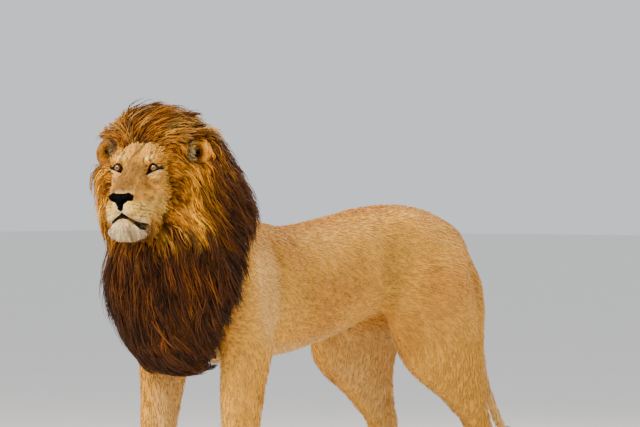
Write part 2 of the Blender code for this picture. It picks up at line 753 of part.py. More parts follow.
def main():
    """Build the lion's solids and part them where its parts are named."""
    clear_scene()
    head = make_head()
    body = make_body()
    mane = fuse("mane", mane_forms(), MANE_VOXEL, MANE_TRIANGLES, softening=14)
    skull = thinned(head, SKULL_TRIANGLES)
    keep_clear(mane, skull, SKULL_ROOM)
    bpy.data.objects.remove(skull, do_unlink=True)
    keep_clear(mane, body, FLESH_ROOM)
    nose = make_nose()
    keep_clear(head, nose)
    eyes = [make_eye("left", 1), make_eye("right", -1)]
    for eye in eyes:
        keep_clear(head, eye)
    ears = [make_ear("left", 1), make_ear("right", -1)]
    for ear in ears:
        keep_clear(ear, head)
        keep_clear(ear, body)
        keep_largest(ear)
    for sign in (1, -1):
        for room in (ear_room(sign), ear_view(sign)):
            combine(mane, room, "DIFFERENCE")
            bpy.data.objects.remove(room, do_unlink=True)
    keep_largest(mane)
    tail = make_tail()
    keep_clear(tail[0], body)
    keep_largest(tail[0])
    flesh = part_legs(body) + part_trunk(body) + part_head(head)
    manes = part_mane(mane)
    for item in flesh + tail:
        finish(item, "sand")
    for item in ears:
        finish(item, "gold")
    for item in manes:
        finish(item, "umber" if item.name == "mane_bib" else "gold")
    finish(nose, "leather")
    for eye in eyes:
        finish(eye, "eye")
    stand_on_origin(flesh + tail + ears + manes + [nose] + eyes)


if __name__ == "__main__":
    main()
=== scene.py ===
"""A grown male lion, standing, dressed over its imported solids: skin, eyes, nose, fur and mane.

The lion faces -Y and its left side is +X.  Lengths are in metres unless a name says millimetres.
"""
import logging
import math
from collections.abc import Callable, Iterator
from contextlib import contextmanager
from dataclasses import dataclass, field, replace
from enum import Enum

import bpy
import numpy as np
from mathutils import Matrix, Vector
from mathutils.bvhtree import BVHTree
from mathutils.kdtree import KDTree


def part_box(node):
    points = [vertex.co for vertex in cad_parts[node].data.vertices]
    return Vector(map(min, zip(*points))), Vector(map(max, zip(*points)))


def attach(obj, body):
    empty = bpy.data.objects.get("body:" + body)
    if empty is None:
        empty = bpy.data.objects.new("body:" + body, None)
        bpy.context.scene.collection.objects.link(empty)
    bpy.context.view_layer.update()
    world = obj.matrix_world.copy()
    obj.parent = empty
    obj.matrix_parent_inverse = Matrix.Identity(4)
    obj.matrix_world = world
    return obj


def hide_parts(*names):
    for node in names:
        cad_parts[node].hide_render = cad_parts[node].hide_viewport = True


Array = np.ndarray
Chance = np.random.Generator
Item = bpy.types.Object

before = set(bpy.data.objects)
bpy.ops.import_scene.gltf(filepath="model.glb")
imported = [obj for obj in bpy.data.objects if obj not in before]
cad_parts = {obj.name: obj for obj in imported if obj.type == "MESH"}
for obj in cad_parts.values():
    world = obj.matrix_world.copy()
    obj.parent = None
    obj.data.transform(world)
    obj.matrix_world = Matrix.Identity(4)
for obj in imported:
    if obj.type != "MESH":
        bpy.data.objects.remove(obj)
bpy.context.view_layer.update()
MILLIMETRE = 0.001
UP = np.array((0.0, 0.0, 1.0))
LOG = logging.getLogger("lion")

SIDES = ("left", "right")
MANE_NODES = ("mane_crown", "mane_left", "mane_right", "mane_bib")
HEAD_NODES = ("head", "lower_jaw", "neck")
TRUNK_NODES = ("neck", "chest", "barrel", "rump")
LIMB_NODES = tuple(
    f"{stem}_{side}{end}"
    for side in SIDES
    for stem, end in (("upper_arm", ""), ("foreleg", "_lower"), ("forepaw", ""),
                      ("thigh", ""), ("hindleg", "_lower"), ("hindpaw", ""))
)
TAIL_NODES = ("tail_root", "tail_middle", "tail_end")
EAR_NODES = ("ear_left", "ear_right")
EARS = tuple(zip(EAR_NODES, (1.0, -1.0)))      # with the sign of each ear's side


class Limb(Enum):
    """The two kinds of leg."""

    FORE = "fore"
    HIND = "hind"


# ---------------------------------------------------------------- arithmetic on arrays
def srgb(code: str) -> Array:
    """Turn a colour to linear light.

    Args:
        code: an sRGB colour as six hex digits.

    Returns:
        Its linear red, green and blue.
    """
    value = np.array([int(code[i:i + 2], 16) / 255.0 for i in (0, 2, 4)])
    return np.where(value <= 0.04045, value / 12.92, ((value + 0.055) / 1.055) ** 2.4)


def smoothstep(low: float, high: float, value: Array) -> Array:
    """Rise from 0 to 1 between two values, gently at both ends."""
    t = np.clip((value - low) / (high - low), 0.0, 1.0)
    return t * t * (3.0 - 2.0 * t)


def unit(vectors: Array) -> Array:
    """Scale each row of an array to length one."""
    return vectors / np.maximum(np.linalg.norm(vectors, axis=-1, keepdims=True), 1e-9)


def flatten(vectors: Array, normals: Array) -> Array:
    """Lay directions flat on a surface.

    Args:
        vectors: one direction for each point.
        normals: the surface's normal at each point.

    Returns:
        Unit directions that lie in the surface.
    """
    return unit(vectors - normals * np.sum(vectors * normals, axis=-1, keepdims=True))


def mix(first: Array, second: Array, share: Array) -> Array:
    """Blend two colours or sets of vectors, one share for each row."""
    weight = np.asarray(share)[..., None]
    return first * (1.0 - weight) + second * weight


def bell(value: Array, middle: float, width: float) -> Array:
    """1 at the middle and gently down to 0 on both sides."""
    return np.exp(-((value - middle) / width) ** 2)


def oval(across: Array, up: Array, middle: tuple[float, float], size: tuple[float, float]) -> Array:
    """How far out from an oval's middle a place is: 1 on its edge."""
    return np.hypot((across - middle[0]) / size[0], (up - middle[1]) / size[1])


def blend(shares: Array, values: Array) -> Array:
    """Average the values at three corners by their shares, one row for each place."""
    return np.einsum("ij,ijk->ik", shares, values)


def lattice_noise(points: Array, size: float, seed: int = 0) -> Array:
    """Smooth noise between -1 and 1 that is the same on each run.

    Args:
        points: places in space, one to a row.
        size: width of one lump, in the points' unit.
        seed: which noise.

    Returns:
        One value for each point.
    """
    scaled = points / size + seed * 17.31
    cell = np.floor(scaled).astype(np.int64)
    t = scaled - cell
    t = t * t * (3.0 - 2.0 * t)
    total = np.zeros(len(points))
    for corner in range(8):
        step = np.array((corner & 1, corner >> 1 & 1, corner >> 2 & 1))
        at = cell + step
        mixed = (at[:, 0] * 73856093) ^ (at[:, 1] * 19349663) ^ (at[:, 2] * 83492791) ^ (seed * 2654435)
        mixed = (mixed ^ (mixed >> 13)) * 1274126177 & 0x7FFFFFFF
        mixed = (mixed ^ (mixed >> 16)) & 0xFFFF
        weight = np.prod(np.where(step == 1, t, 1.0 - t), axis=1)
        total += weight * (mixed / 32767.5 - 1.0)
    return total


def noise_field(points: Array, size: float, seed: int) -> Array:
    """Three noises at once, as a direction for each point."""
    return np.stack([lattice_noise(points, size, seed + k) for k in range(3)], axis=1)


def noises(points: Array, table: dict[str, tuple]) -> dict[str, Array]:
    """Work out several noises.

    Args:
        points: places in space, one to a row.
        table: for each name, a lump's width, the seed, and a factor for each axis if it is drawn out.

    Returns:
        Each noise's values by name.
    """
    return {name: lattice_noise(points * np.array(*factors or (1.0,)), size, seed)
            for name, (size, seed, *factors) in table.items()}


def line_distance(points: Array, line: Array) -> tuple[Array, Array]:
    """Distance from points to a line of straight runs.

    Args:
        points: places in space, one to a row.
        line: the line's corners, one to a row.

    Returns:
        The distance, and how far along the line the nearest place is, from 0 to 1.
    """
    best = np.full(len(points), 1e9)
    along = np.zeros(len(points))
    for k, (start, end) in enumerate(zip(line, line[1:])):
        run = end - start
        t = np.clip((points - start) @ run / (run @ run), 0.0, 1.0)
        gap = np.linalg.norm(points - start - t[:, None] * run, axis=1)
        nearer = gap < best
        best = np.where(nearer, gap, best)
        along = np.where(nearer, (k + t) / (len(line) - 1), along)
    return best, along


# ---------------------------------------------------------------- meshes
def activate(*items: Item) -> None:
    """Select only these objects and make the first one active."""
    bpy.ops.object.select_all(action="DESELECT")
    for item in items:
        item.select_set(True)
    bpy.context.view_layer.objects.active = items[0]


def link(item: Item) -> Item:
    """Put a new object into the scene."""
    bpy.context.scene.collection.objects.link(item)
    return item


def joined(items: list[Item], name: str) -> Item:
    """Join objects into one with a new name."""
    activate(*items)
    if len(items) > 1:
        bpy.ops.object.join()
    item = bpy.context.view_layer.objects.active
    item.name = item.data.name = name
    return item


@contextmanager
def editing(item: Item, chosen: Array | None = None) -> Iterator[None]:
    """Open a mesh in edit mode.

    Args:
        item: the object.
        chosen: true at the vertices to select, which are all of them unless it is given.
    """
    activate(item)
    bpy.ops.object.mode_set(mode="EDIT")
    if chosen is None:
        bpy.ops.mesh.select_all(action="SELECT")
    else:
        bpy.ops.mesh.select_mode(type="VERT")
        bpy.ops.mesh.select_all(action="DESELECT")
        bpy.ops.object.mode_set(mode="OBJECT")
        item.data.vertices.foreach_set("select", chosen)
        bpy.ops.object.mode_set(mode="EDIT")
    yield
    bpy.ops.object.mode_set(mode="OBJECT")


def read(rows: bpy.types.bpy_prop_collection, name: str, width: int, kind: type = float) -> Array:
    """Read one property of all of a mesh's elements of one kind.

    Args:
        rows: the elements.
        name: the property.
        width: how many numbers it has.
        kind: the numbers' type.

    Returns:
        The numbers, one element to a row.
    """
    out = np.empty(len(rows) * width, dtype=kind)
    rows.foreach_get(name, out)
    return out.reshape(-1, width)


def corners_of(item: Item) -> Array:
    """Places of an object's vertices, one to a row."""
    return read(item.data.vertices, "co", 3)


def normals_of(item: Item) -> Array:
    """Normals at an object's vertices, one to a row."""
    return read(item.data.vertices, "normal", 3)


def edges_of(item: Item) -> Array:
    """An object's edges as pairs of vertex numbers."""
    return read(item.data.edges, "vertices", 2, np.int32)


def triangles_of(item: Item) -> Array:
    """An object's faces as triangles of vertex numbers."""
    item.data.calc_loop_triangles()
    return read(item.data.loop_triangles, "vertices", 3, np.int32)


def set_corners(item: Item, places: Array) -> None:
    """Move an object's vertices."""
    item.data.vertices.foreach_set("co", places.astype(np.float32).ravel())
    item.data.update()


def push_out(item: Item, depth: Array | float) -> None:
    """Move an object's vertices along their normals, inwards where the depth is negative."""
    set_corners(item, corners_of(item) + normals_of(item) * np.reshape(depth, (-1, 1)))


def apply_modifier(item: Item, kind: str, **settings: object) -> None:
    """Add a modifier, set it and make it part of the mesh.

    Args:
        item: the object that it works on.
        kind: the modifier's type.
        settings: values for its properties.
    """
    modifier = item.modifiers.new(kind.lower(), kind)
    for name, value in settings.items():
        setattr(modifier, name, value)
    activate(item)
    bpy.ops.object.modifier_apply(modifier=modifier.name)


def relax(item: Item, rounds: int, pull: float = 0.5, push: float = -0.52,
          share: Array | None = None) -> None:
    """Smooth a mesh without shrinking it.

    Args:
        item: the object to smooth.
        rounds: how many times.
        pull: how far each vertex moves to its neighbours' middle.
        push: how far it moves back.
        share: how much of the move each vertex makes.
    """
    places, edges = corners_of(item), edges_of(item)
    count = np.bincount(edges.ravel(), minlength=len(places)).astype(float)[:, None]
    weight = 1.0 if share is None else share[:, None]
    for _ in range(rounds):
        for factor in (pull, push):
            total = np.zeros_like(places)
            for axis in range(3):
                total[:, axis] = (
                    np.bincount(edges[:, 0], places[edges[:, 1], axis], len(places))
                    + np.bincount(edges[:, 1], places[edges[:, 0], axis], len(places))
                )
            places = places + factor * weight * (total / np.maximum(count, 1.0) - places)
    set_corners(item, places)


def drop_islands(item: Item) -> None:
    """Delete all of a mesh but its largest connected part."""
    edges = edges_of(item)
    label = np.arange(len(item.data.vertices))
    settled = False
    while not settled:
        lowest = np.minimum(label[edges[:, 0]], label[edges[:, 1]])
        fresh = label.copy()
        np.minimum.at(fresh, edges[:, 0], lowest)
        np.minimum.at(fresh, edges[:, 1], lowest)
        fresh = fresh[fresh]
        settled = np.array_equal(fresh, label)
        label = fresh
    values, counts = np.unique(label, return_counts=True)
    extra = label != values[np.argmax(counts)]
    if extra.any():
        with editing(item, extra):
            bpy.ops.mesh.delete(type="VERT")


def melted_nodes(name: str, nodes: tuple[str, ...], voxel: float, swell: float = 0.001,
                 one_part: bool = True) -> Item:
    """Join copies of solids and melt them over their thin cuts into one closed mesh.

    Args:
        name: the new object's name.
        nodes: the solids' names.
        voxel: the grid's spacing.
        swell: how far each copy grows first, so that the cuts close.
        one_part: keep only the largest connected part.

    Returns:
        The new object.
    """
    twins = [link(bpy.data.objects.new(name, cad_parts[node].data.copy())) for node in nodes]
    for twin in twins:
        twin.data.materials.clear()
    item = joined(twins, name)
    with editing(item):
        bpy.ops.mesh.remove_doubles(threshold=1e-5)
    apply_modifier(item, "DISPLACE", strength=swell, mid_level=0.0)
    apply_modifier(item, "REMESH", mode="VOXEL", voxel_size=voxel)
    if one_part:
        drop_islands(item)
    return item


def refine(item: Item, chosen: Array) -> None:
    """Cut the faces between chosen vertices into four."""
    with editing(item, chosen):
        bpy.ops.mesh.select_mode(type="FACE")
        bpy.ops.mesh.subdivide(number_cuts=1, smoothness=0.0)
        bpy.ops.mesh.select_mode(type="VERT")


def thin(item: Item, triangles: int, kept: Array | None = None) -> None:
    """Collapse a mesh's plainest faces until it has about this many triangles.

    Args:
        item: the object.
        triangles: about how many triangles are left.
        kept: true at the vertices round fine forms, which go last.
    """
    share = triangles / len(triangles_of(item))
    if share >= 1.0:
        return
    settings = {}
    if kept is not None:
        group = item.vertex_groups.new(name="plain")
        group.add(np.nonzero(~kept)[0].tolist(), 1.0, "REPLACE")
        settings = {"vertex_group": "plain", "vertex_group_factor": 1.0}
    apply_modifier(item, "DECIMATE", ratio=share, use_collapse_triangulate=True, **settings)
    item.vertex_groups.clear()


def paint(item: Item, colours: Array) -> None:
    """Store a colour at each vertex, for the material to read."""
    layer = item.data.attributes.new("Coat", "FLOAT_COLOR", "POINT")
    rows = np.ones((len(colours), 4), dtype=np.float32)
    rows[:, :3] = colours
    layer.data.foreach_set("color", rows.ravel())


def finish(item: Item, material: bpy.types.Material) -> None:
    """Smooth an object's shading and give it its material."""
    item.data.shade_smooth()
    item.data.materials.append(material)


def remove(item: Item) -> None:
    """Take a helper object out of the scene."""
    bpy.data.objects.remove(item, do_unlink=True)


@dataclass
class Surface:
    """A smooth shape that hairs are rooted on and follow."""

    places: Array
    triangles: Array
    normals: Array
    tree: BVHTree = field(init=False)

    def __post_init__(self) -> None:
        """Build the search tree."""
        self.tree = BVHTree.FromPolygons(self.places.tolist(), self.triangles.tolist())

    @classmethod
    def of(cls, item: Item) -> "Surface":
        """Read a surface from an object's mesh."""
        return cls(corners_of(item), triangles_of(item), normals_of(item))

    def nearest(self, points: Array) -> tuple[Array, Array, Array]:
        """Find the nearest places on the surface.

        Args:
            points: places in space, one to a row.

        Returns:
            The nearest places, the smooth normals there and the triangles' numbers.
        """
        found = np.empty_like(points)
        faces = np.empty(len(points), dtype=np.int64)
        find = self.tree.find_nearest
        for i, point in enumerate(points.tolist()):
            place, _, face, _ = find(point)
            found[i] = place
            faces[i] = face
        return found, self.normals_at(found, faces), faces

    def normals_at(self, places: Array, faces: Array) -> Array:
        """Smooth normals at places on given triangles."""
        return unit(blend(self.shares(places, faces), self.normals[self.triangles[faces]]))

    def shares(self, places: Array, faces: Array) -> Array:
        """Barycentric shares of a triangle's corners at a place on it."""
        a, b, c = (self.places[self.triangles[faces][:, k]] for k in range(3))
        ab, ac, ap = b - a, c - a, places - a
        d00, d01, d11 = (np.sum(p * q, axis=1) for p, q in ((ab, ab), (ab, ac), (ac, ac)))
        d20, d21 = np.sum(ap * ab, axis=1), np.sum(ap * ac, axis=1)
        scale = np.maximum(d00 * d11 - d01 * d01, 1e-18)
        v = (d11 * d20 - d01 * d21) / scale
        w = (d00 * d21 - d01 * d20) / scale
        return np.clip(np.stack([1.0 - v - w, v, w], axis=1), 0.0, 1.0)

    def scatter(self, count: int, density: Array, rng: Chance) -> tuple[Array, Array]:
        """Strew points over the surface.

        Args:
            count: how many.
            density: how thick they lie at each vertex.
            rng: the source of chance.

        Returns:
            Their places and normals.
        """
        a, b, c = (self.places[self.triangles[:, k]] for k in range(3))
        area = np.linalg.norm(np.cross(b - a, c - a), axis=1) / 2
        weight = area * density[self.triangles].mean(axis=1)
        reach = np.cumsum(weight)
        spots = (np.arange(count) + rng.random(count)) / count * reach[-1]
        ids = self.triangles[np.minimum(np.searchsorted(reach, spots), len(area) - 1)]
        u, v = rng.random(count), rng.random(count)
        over = u + v > 1.0
        u, v = np.where(over, 1.0 - u, u), np.where(over, 1.0 - v, v)
        shares = np.stack([1.0 - u - v, u, v], axis=1)
        return blend(shares, self.places[ids]), unit(blend(shares, self.normals[ids]))


# ---------------------------------------------------------------- the head's own directions
def middle_of(node: str) -> Vector:
    """Middle of a solid's box."""
    return sum(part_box(node), Vector()) / 2


@dataclass(frozen=True)
class HeadFrame:
    """Directions of the head: forward, to its left, and up, from a point between the pupils."""

    lift: float = 3.5                     # degrees that the nose is raised
    eye_back: float = 0.016               # eyeball's middle behind the pupils' line

    def axes(self) -> tuple[Array, Array]:
        """Work out the head's middle and directions.

        Returns:
            The point between the pupils, and rows for forward, left and up.
        """
        eyes = [middle_of("eye_" + side) for side in SIDES]
        left = unit(np.array(eyes[0] - eyes[1]))
        level = np.cross(left, UP)
        tilt = math.radians(self.lift)
        forward = math.cos(tilt) * level + math.sin(tilt) * UP
        upward = math.cos(tilt) * UP - math.sin(tilt) * level
        middle = np.array(eyes[0] + eyes[1]) / 2 + forward * self.eye_back
        return middle, np.stack([forward, left, upward])

    def to_head(self, points: Array) -> Array:
        """Places in the head's own directions: forward, side, height."""
        middle, rows = self.axes()
        return (points - middle) @ rows.T

    def to_world(self, points: Array) -> Array:
        """Places in the world from the head's own directions."""
        middle, rows = self.axes()
        return np.asarray(points) @ rows + middle

    def turn(self, vectors: Array) -> Array:
        """Directions in the world from the head's own directions."""
        return np.asarray(vectors) @ self.axes()[1]

    def node(self, name: str) -> Array:
        """Middle of a solid's box in the head's own directions."""
        return self.to_head(np.array(middle_of(name))[None])[0]


@dataclass(frozen=True)
class Paw:
    """Where a paw's toes lie, worked out from its solid's box.  Pairs of sizes are fore and hind."""

    node: str
    lengths: tuple[float, float] = (0.190, 0.172)
    widths: tuple[float, float] = (0.138, 0.118)
    toes: tuple[float, ...] = (-0.375, -0.125, 0.125, 0.375)      # shares of the width
    grooves: tuple[float, ...] = (-0.25, 0.0, 0.25)
    toe_form: tuple[float, float] = (0.0030, 0.010)               # how far it rises, half width
    groove_form: tuple[float, float] = (-0.0095, 0.0050)
    half_room: float = 0.09               # no vertex farther across than this belongs to the paw

    @property
    def kind(self) -> Limb:
        """Fore or hind."""
        return Limb(self.node[:4])

    @property
    def length(self) -> float:
        """From the heel to the tips of the toes."""
        return self.lengths[self.kind is Limb.HIND]

    @property
    def middle(self) -> float:
        """Place of the paw's middle across the animal."""
        low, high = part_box(self.node)
        return (low.x + high.x) / 2

    @property
    def heel(self) -> float:
        """Place of the heel along the animal."""
        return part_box(self.node)[0].y + 1.006 * self.length

    @property
    def ankle(self) -> float:
        """Place of the ankle along the animal."""
        return self.ahead(0.28)

    def ahead(self, share: float) -> float:
        """Place along the animal that is a share of the paw's length ahead of its heel."""
        return self.heel - share * self.length

    def toe(self, share: float) -> tuple[float, float]:
        """Where a toe's tip lies, across and along the animal."""
        width = self.widths[self.kind is Limb.HIND]
        return self.middle + share * width, self.heel - self.length * (1.02 - 0.9 * share ** 2)

    def holds(self, places: Array, back: float, front: float) -> Array:
        """True at places between two shares of the paw's length and not beside it."""
        x, y = places[:, 0], places[:, 1]
        return (y < self.ahead(back)) & (y > self.ahead(front)) & (np.abs(x - self.middle) < self.half_room)

    def relief(self, places: Array) -> Array:
        """How far the toes rise and the grooves between them sink."""
        x, y, z = places.T
        near = smoothstep(self.ahead(0.42), self.ahead(0.62), y) * self.holds(places, 0.0, 1.2)
        total = np.zeros(len(places))
        for shares, (height, width) in ((self.toes, self.toe_form), (self.grooves, self.groove_form)):
            for share in shares:
                total += height * bell(x, self.toe(share)[0], width)
        return total * near * smoothstep(0.001, 0.012, z) * smoothstep(0.085, 0.060, z)


PAWS = tuple(Paw(f"{stem}_{side}") for stem in ("forepaw", "hindpaw") for side in SIDES)
HEAD = HeadFrame()
WIND = np.array((math.cos(math.radians(42.0)), math.sin(math.radians(42.0)), 0.0))


# ---------------------------------------------------------------- markings, the same on skin and coat
@dataclass(frozen=True)
class EyeShape:
    """The almond of dark skin round an eye and the opening in it, in the head's directions."""

    side: float = 0.0575                  # pupil's distance from the head's middle
    ball_back: float = 0.016
    radius: float = 0.019
    line: tuple[float, ...] = (0.0350, 0.0400, 0.0450, 0.0504, 0.0583, 0.0654, 0.0719, 0.0785)
    top: tuple[float, ...] = (-0.0165, 0.0009, 0.0105, 0.0152, 0.0160, 0.0124, 0.0055, -0.0014)
    low: tuple[float, ...] = (-0.0210, -0.0196, -0.0172, -0.0145, -0.0115, -0.0090, -0.0062, -0.0032)
    margin: float = 0.0044                # dark skin between the opening and the fur

    def above_low(self, both: Array) -> Array:
        """Height over the almond's lower edge."""
        return both[:, 2] - np.interp(both[:, 1], self.line, self.low)

    def inside(self, both: Array) -> Array:
        """How far a place lies inside the almond, negative outside, for places folded to the left."""
        over = np.interp(both[:, 1], self.line, self.top) - both[:, 2]
        ends = np.minimum(both[:, 1] - self.line[0], self.line[-1] - both[:, 1])
        return np.minimum(np.minimum(over, self.above_low(both)), ends)

    def dark(self, both: Array) -> Array:
        """1 inside the dark almond."""
        return smoothstep(-0.0009, 0.0009, self.inside(both)) * smoothstep(-0.075, -0.060, both[:, 0])

    def stripe(self, both: Array) -> Array:
        """1 on the pale fur under the eye."""
        under = -self.above_low(both)
        band = smoothstep(0.0002, 0.0012, under) * smoothstep(0.0078, 0.0046, under)
        ends = smoothstep(0.034, 0.040, both[:, 1]) * smoothstep(0.078, 0.068, both[:, 1])
        return band * ends * smoothstep(-0.075, -0.060, both[:, 0])


@dataclass(frozen=True)
class MouthShape:
    """The dark band between the upper lip's edge and the lower lip's edge."""

    side: tuple[float, ...] = (0.000, 0.015, 0.030, 0.045, 0.058, 0.069)
    top: tuple[float, ...] = (-0.1400, -0.1500, -0.1600, -0.1665, -0.1690, -0.1755)
    low: tuple[float, ...] = (-0.1580, -0.1614, -0.1718, -0.1860, -0.1972, -0.2005)
    back: float = 0.030

    def bounds(self, both: Array) -> list[Array]:
        """Heights of the upper and lower lip's edges at each place."""
        return [np.interp(both[:, 1], self.side, heights) for heights in (self.top, self.low)]

    def inside(self, both: Array) -> Array:
        """How far a place lies inside the band, negative outside."""
        top, low = self.bounds(both)
        return np.minimum(top - both[:, 2], both[:, 2] - low)

    def share(self, both: Array) -> Array:
        """1 inside the dark band, 0 outside it."""
        near = smoothstep(0.072, 0.068, both[:, 1]) * smoothstep(self.back, self.back + 0.01, both[:, 0])
        return smoothstep(-0.0014, 0.0014, self.inside(both)) * near


@dataclass(frozen=True)
class WhiskerRows:
    """Where the dark spots of the whisker pads lie, in the head's directions."""

    levels: tuple[float, ...] = (-0.1160, -0.1265, -0.1370, -0.1470)
    first: float = 0.028                  # side of the first spot
    step: float = 0.0085                  # from one spot to the next
    fall: float = 0.10                    # how much a row drops on its way back

    def heights(self, side: Array | float) -> list:
        """Each row's height at a place's side."""
        return [level - self.fall * (side - self.first) for level in self.levels]


EYES = EyeShape()
MOUTH = MouthShape()
WHISKER_ROWS = WhiskerRows()


class Tint(Enum):
    """Colours of hair and bare skin, as sRGB hex codes."""

    SAND = "DEA23C"
    BACK = "C07C20"
    BELLY = "E2BC7C"
    FLANK = "C4862E"
    FACE = "F0AC3C"
    FACE_PALE = "FFD066"
    BRIDGE = "7E521A"
    WHITE = "FFE6B4"
    BLACK = "040302"
    BROWN = "4A2A10"
    GOLD = "C27A0A"
    GOLD_PALE = "E2AE48"
    GOLD_DEEP = "6E3804"
    UMBER = "361A05"
    CHESTNUT = "74400C"
    ASH = "8E7A52"
    # The next two are painted light on the mane: a sunlit strip beside each cheek and a highlight on the
    # crown
    STRIP = "F0A41C"
    GLOW = "F6C668"

    @property
    def light(self) -> Array:
        """The colour in linear light."""
        return srgb(self.value)


# Lines of the face in the head's directions; those of the forehead are seen straight from the front
CREASE = np.array(((0.0, 0.0246, 0.0955), (0.0, 0.0051, 0.0580),
                   (0.0, -0.0142, 0.0270), (0.0, -0.0170, 0.0120)))
FURROW = np.array(((0.0, 0.004, 0.100), (0.0, 0.010, 0.074)))
TEAR = np.array(((0.0, 0.0375, -0.017), (0.0, 0.0352, -0.023), (0.0, 0.0335, -0.031)))
LIP_SPLIT = np.array(((0.140, 0.0, -0.119), (0.134, 0.0, -0.143)))
# Dark dashes over each eye: the line, and how wide it fades out
DASHES = (
    (np.array(((0.0, 0.0425, 0.046), (0.0, 0.0455, 0.021))), 0.0060),
    (np.array(((0.0, 0.0565, 0.037), (0.0, 0.0590, 0.027))), 0.0034),
    (np.array(((0.0, 0.0500, 0.062), (0.0, 0.0520, 0.050))), 0.0034),
    (np.array(((0.0, 0.0250, 0.030), (0.0, 0.0290, 0.012))), 0.0034),
)

# Noises by name: a lump's width, the seed, and factors for the axes along which it is drawn out
BODY_NOISES = {"broad": (0.16, 3), "fine": (0.018, 4), "speck": (0.026, 9)}
FACE_NOISES = {
    "broad": (0.035, 13),
    "fine": (0.006, 12),
    "streak": (0.0045, 14, (0.35, 1.0, 0.45)),
    "scratch": (0.0068, 15, (0.4, 1.0, 0.5)),
    "freckle": (0.0080, 17),
    "stain": (0.017, 18),
    "wisp": (0.0072, 19, (1.0, 1.0, 0.35)),
    "patchy": (0.030, 20),
}
MANE_NOISES = {"lump": (0.055, 21), "streak": (0.014, 22), "grain": (0.026, 24)}

# Marks in the order in which they are laid: colour, brightness, strength, then limits.  A limit is a
# measure, the value at which the mark starts and the value at which it is full; a measure alone
# is a share by itself.
BODY_MARKS = (
    (Tint.FLANK, 1.0, 1.0, ("broad", -0.2, 0.9)),
    (Tint.BACK, 1.0, 0.75, ("across", 0.10, 0.0), ("z", 0.85, 1.0)),
    (Tint.BELLY, 1.0, 0.80, ("z", 0.72, 0.62), ("across", 0.16, 0.04), ("z", 0.45, 0.56)),
    (Tint.BELLY, 1.0, 0.55, ("across", 0.150, 0.105), ("z", 0.60, 0.45)),
    (Tint.BELLY, 1.0, 0.35, ("z", 0.16, 0.05)),
    # paler fur on the shoulder, partly a painted pool of light on the shoulder blade
    (Tint.BELLY, 1.0, 0.42, ("shoulder", 1.0, 0.3)),
    (Tint.BROWN, 1.0, 0.34, ("speck", 0.66, 0.82), ("broad", -0.2, 0.2)),
    (Tint.BROWN, 1.0, 0.60, ("scar", 0.011, 0.005), ("x", 0.04, 0.06)),
)
TAIL_MARKS = ((Tint.UMBER, 1.0, 1.0, ("y", 0.90, 0.98), ("z", 0.40, 0.34)),)
CHIN_MARKS = (
    (Tint.BROWN, 1.0, 0.62, ("wisp", 0.0, 0.7)),
    (Tint.BROWN, 1.0, 0.55, ("stroke", 0.30, 0.95), ("height", -0.185, -0.200)),
    (Tint.GOLD, 1.0, 0.55, ("beard", -0.203, -0.222)),
)
FACE_MARKS = (
    (Tint.FACE_PALE, 1.0, 0.55, ("crown", 0.030, 0.085)),
    (Tint.FACE_PALE, 1.2, 1.0, ("brow", 1.0, 0.2)),
    (Tint.BRIDGE, 1.0, 1.0, ("dusk",), ("side", 0.044, 0.020), ("ahead", -0.01, 0.04),
     ("ragged", -0.095, -0.078)),
    (Tint.BRIDGE, 1.0, 0.35, ("height", 0.0, 0.02), ("side", 0.020, 0.006)),
    (Tint.FACE_PALE, 1.0, 0.75, ("cheek", 1.0, 0.2)),
    (Tint.FACE_PALE, 1.15, 0.90, ("pad",)),
    (Tint.WHITE, 1.0, 0.72, ("pad",), ("lip", 0.030, 0.004)),
    (Tint.GOLD, 1.0, 0.55, ("rim", 0.80, 1.12), ("height", 0.050, 0.015)),
    (Tint.WHITE, 1.0, 0.25, ("over_nose", 0.007, 0.002), ("ahead", 0.105, 0.125)),
)
LINE_MARKS = (
    (Tint.WHITE, 1.0, 0.92, ("stripe",)),
    (Tint.BLACK, 1.0, 1.0, ("ahead", -0.07, -0.05), ("tear", 0.0038, 0.0014), ("tear_fade",)),
    (Tint.BLACK, 1.0, 1.0, ("almond",)),
    (Tint.BLACK, 1.0, 1.0, ("mouth",)),
    (Tint.BLACK, 1.0, 1.0, ("split", 0.0040, 0.0020)),
    # dark lines along the forehead's crease and furrow: painted shade in the folds that the skin is pressed
    # into
    (Tint.BROWN, 1.0, 1.0, ("crease_fade",), ("ahead", -0.13, -0.11), ("crease", 0.0068, 0.0012)),
    (Tint.BROWN, 1.0, 0.55, ("ahead", -0.13, -0.11), ("furrow", 0.0045, 0.0012)),
    (Tint.BROWN, 1.0, 0.74, ("freckle", 0.48, 0.72), ("patchy", -0.3, 0.3), ("side", 0.012, 0.035)),
    (Tint.ASH, 1.0, 0.55, ("under_eye", 1.0, 0.3)),
    (Tint.BRIDGE, 1.0, 0.58, ("stain", 0.05, 0.65), ("height", 0.06, 0.0)),
    (Tint.BROWN, 1.0, 0.45, ("scratch", 0.40, 0.75), ("height", 0.065, 0.030), ("off_pad",)),
)
DASH_STRENGTH = 0.74
SPOT_STRENGTH = 0.75
SPOT_EDGE = (0.0034, 0.0014)              # a whisker spot fades out and is full at these distances
MANE_MARKS = (
    (Tint.CHESTNUT, 1.0, 1.0, ("turning",)),
    # a painted strip of sunlight on the golden mane beside each cheek
    (Tint.STRIP, 1.0, 0.85, ("strip",), ("light",), ("streak", -0.7, 0.2)),
    # the pale mark on the crown is a painted highlight of back light on its locks
    (Tint.GLOW, 1.0, 0.78, ("crown",), ("shade", 0.20, 0.75)),
    (Tint.UMBER, 1.0, 0.85, ("crown",), ("shade", -0.20, -0.75)),
    (Tint.GOLD_DEEP, 1.0, 0.55, ("ahead", -0.125, -0.085), ("height", 0.055, 0.085)),
)


